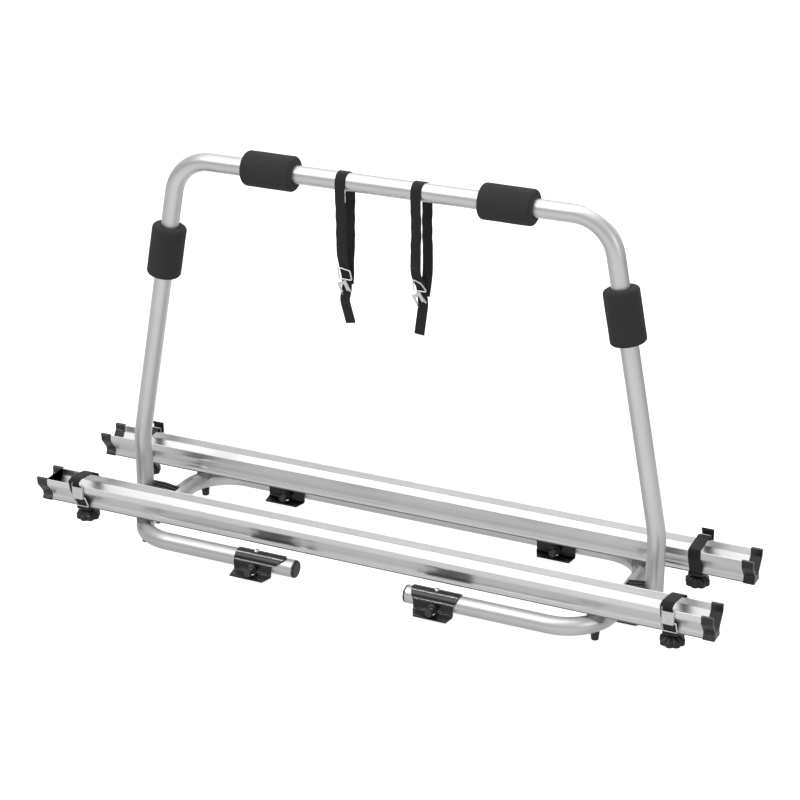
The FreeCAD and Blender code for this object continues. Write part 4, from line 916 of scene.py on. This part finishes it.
def makeBracketFasteners(black, bright):
    # the clamp bolt lies along y below the tube's middle: boss on the wall, threaded shank, head;
    # the domed screw stands on the bracket's top
    p = fastener
    _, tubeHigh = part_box("base_tube")
    tubeY, tubeZ = tubeHigh.y / mm - tubeRadius, tubeHigh.z / mm - tubeRadius
    wall = p["outerRadius"]
    boss = turned(roundedLine([(0, 0), (p["bossRadius"], 0, 0.3), (p["bossRadius"], p["boss"], 0.8),
                               (0, p["boss"])], step=20), 64)
    # the thread is a row of teeth, half a pitch up and half a pitch down
    steps = np.arange(p["tip"], wall + p["reach"], p["pitch"] / 2)
    teeth = np.stack([p["shank"] - p["threadDepth"] * (np.arange(len(steps)) % 2), steps], 1)
    shank = turned(np.concatenate([[(0, steps[0])], teeth, [(0, steps[-1])]]), 48)
    head = hexGrid(p["head"], p["flats"])
    floor = p["screwHeight"] - p["socket"]
    screw = turned(roundedLine([(0, -p["stubDepth"]), (p["stub"], -p["stubDepth"]), (p["stub"], 0),
                                (p["screwHead"] / 2, 0, 0.2),
                                (p["screwHead"] / 2, p["screwHeight"], p["dome"]),
                                (p["socket"], p["screwHeight"], 0.3), (p["socket"], floor),
                                (0, floor)], step=12), 48)
    for end, side in corners:
        name = f"{end}_{side}"
        x = middleOf(f"bracket_fasteners_{name}")[0]
        y = tubeY if end == "back" else -tubeY
        shells = []
        for grid, start in ((head, wall + p["reach"]), (boss, wall), (shank, 0)):
            # a grid made along z is laid along y, toward the rack's front
            laid = np.stack([grid[..., 0], -(start + grid[..., 2]), grid[..., 1]], -1)
            shells.append({"grid": (laid + np.array([x, y, tubeZ - p["drop"]])) * mm})
        shells.append({"grid": (screw + np.array([x, y, tubeZ + wall])) * mm, "material": 1})
        piece = buildPiece(f"bracketFasteners_{name}", shells, [black, bright], sharp=30)
        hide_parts(f"bracket_fasteners_{name}")
        dress(piece, f"bracket_{name}")


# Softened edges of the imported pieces

softened = {  # a node's name starts with: edge radius in millimetres, slot
    "rail_cap_": (0.5, "cap_plastic"),
    "hoop_foot_left": (0.6, "foot_plastic"), "hoop_foot_right": (0.6, "foot_plastic"),
    "drawbar_bracket_": (0.45, "bracket_paint"), "strap_carrier_": (0.6, "carrier_plastic"),
    "rail_saddle_": (0.5, "saddle_aluminium"),
}


def softenEdges(looks):
    for body, members in frame["record"]["behaviour"]["bodies"].items():
        for node in members:
            for start, (edge, slot) in softened.items():
                if node.startswith(start):
                    first, second, *rest = node.split("_")
                    name = f"{first}{second.title()}_{'_'.join(rest)}"
                    dress(softenedCopy(node, name, looks[slotFinish[slot]], edge), body)


# Building

makeCamera()
makeFloor()
makeAir()
makeLamps()
scene.view_settings.view_transform = "Standard"
print("camera and studio ready")
looks = {name: grainMaterial(name) for name in finishes}
looks["wovenPolyester"] = webbingMaterial()
for node in frame["nodes"].values():
    for place in node.material_slots:
        place.material = looks[slotFinish[place.material.name.split(".")[0]]]
print("materials ready:", len(looks))
softenEdges(looks)
print("edges softened")
makeFoamPads(looks["closedCellFoam"])
makeWheelStraps(looks["wovenPolyester"])
makeUpperStraps(looks["wovenPolyester"])
makeUpperRings(looks["platedWire"])
makeLevers(looks["stampedSteel"])
makeKnobs(looks["mouldedKnob"])
makeBracketFasteners(looks["blackZinc"], looks["brightZinc"])
lightOnly(studio["stripLamps"], studio["stripPieces"])
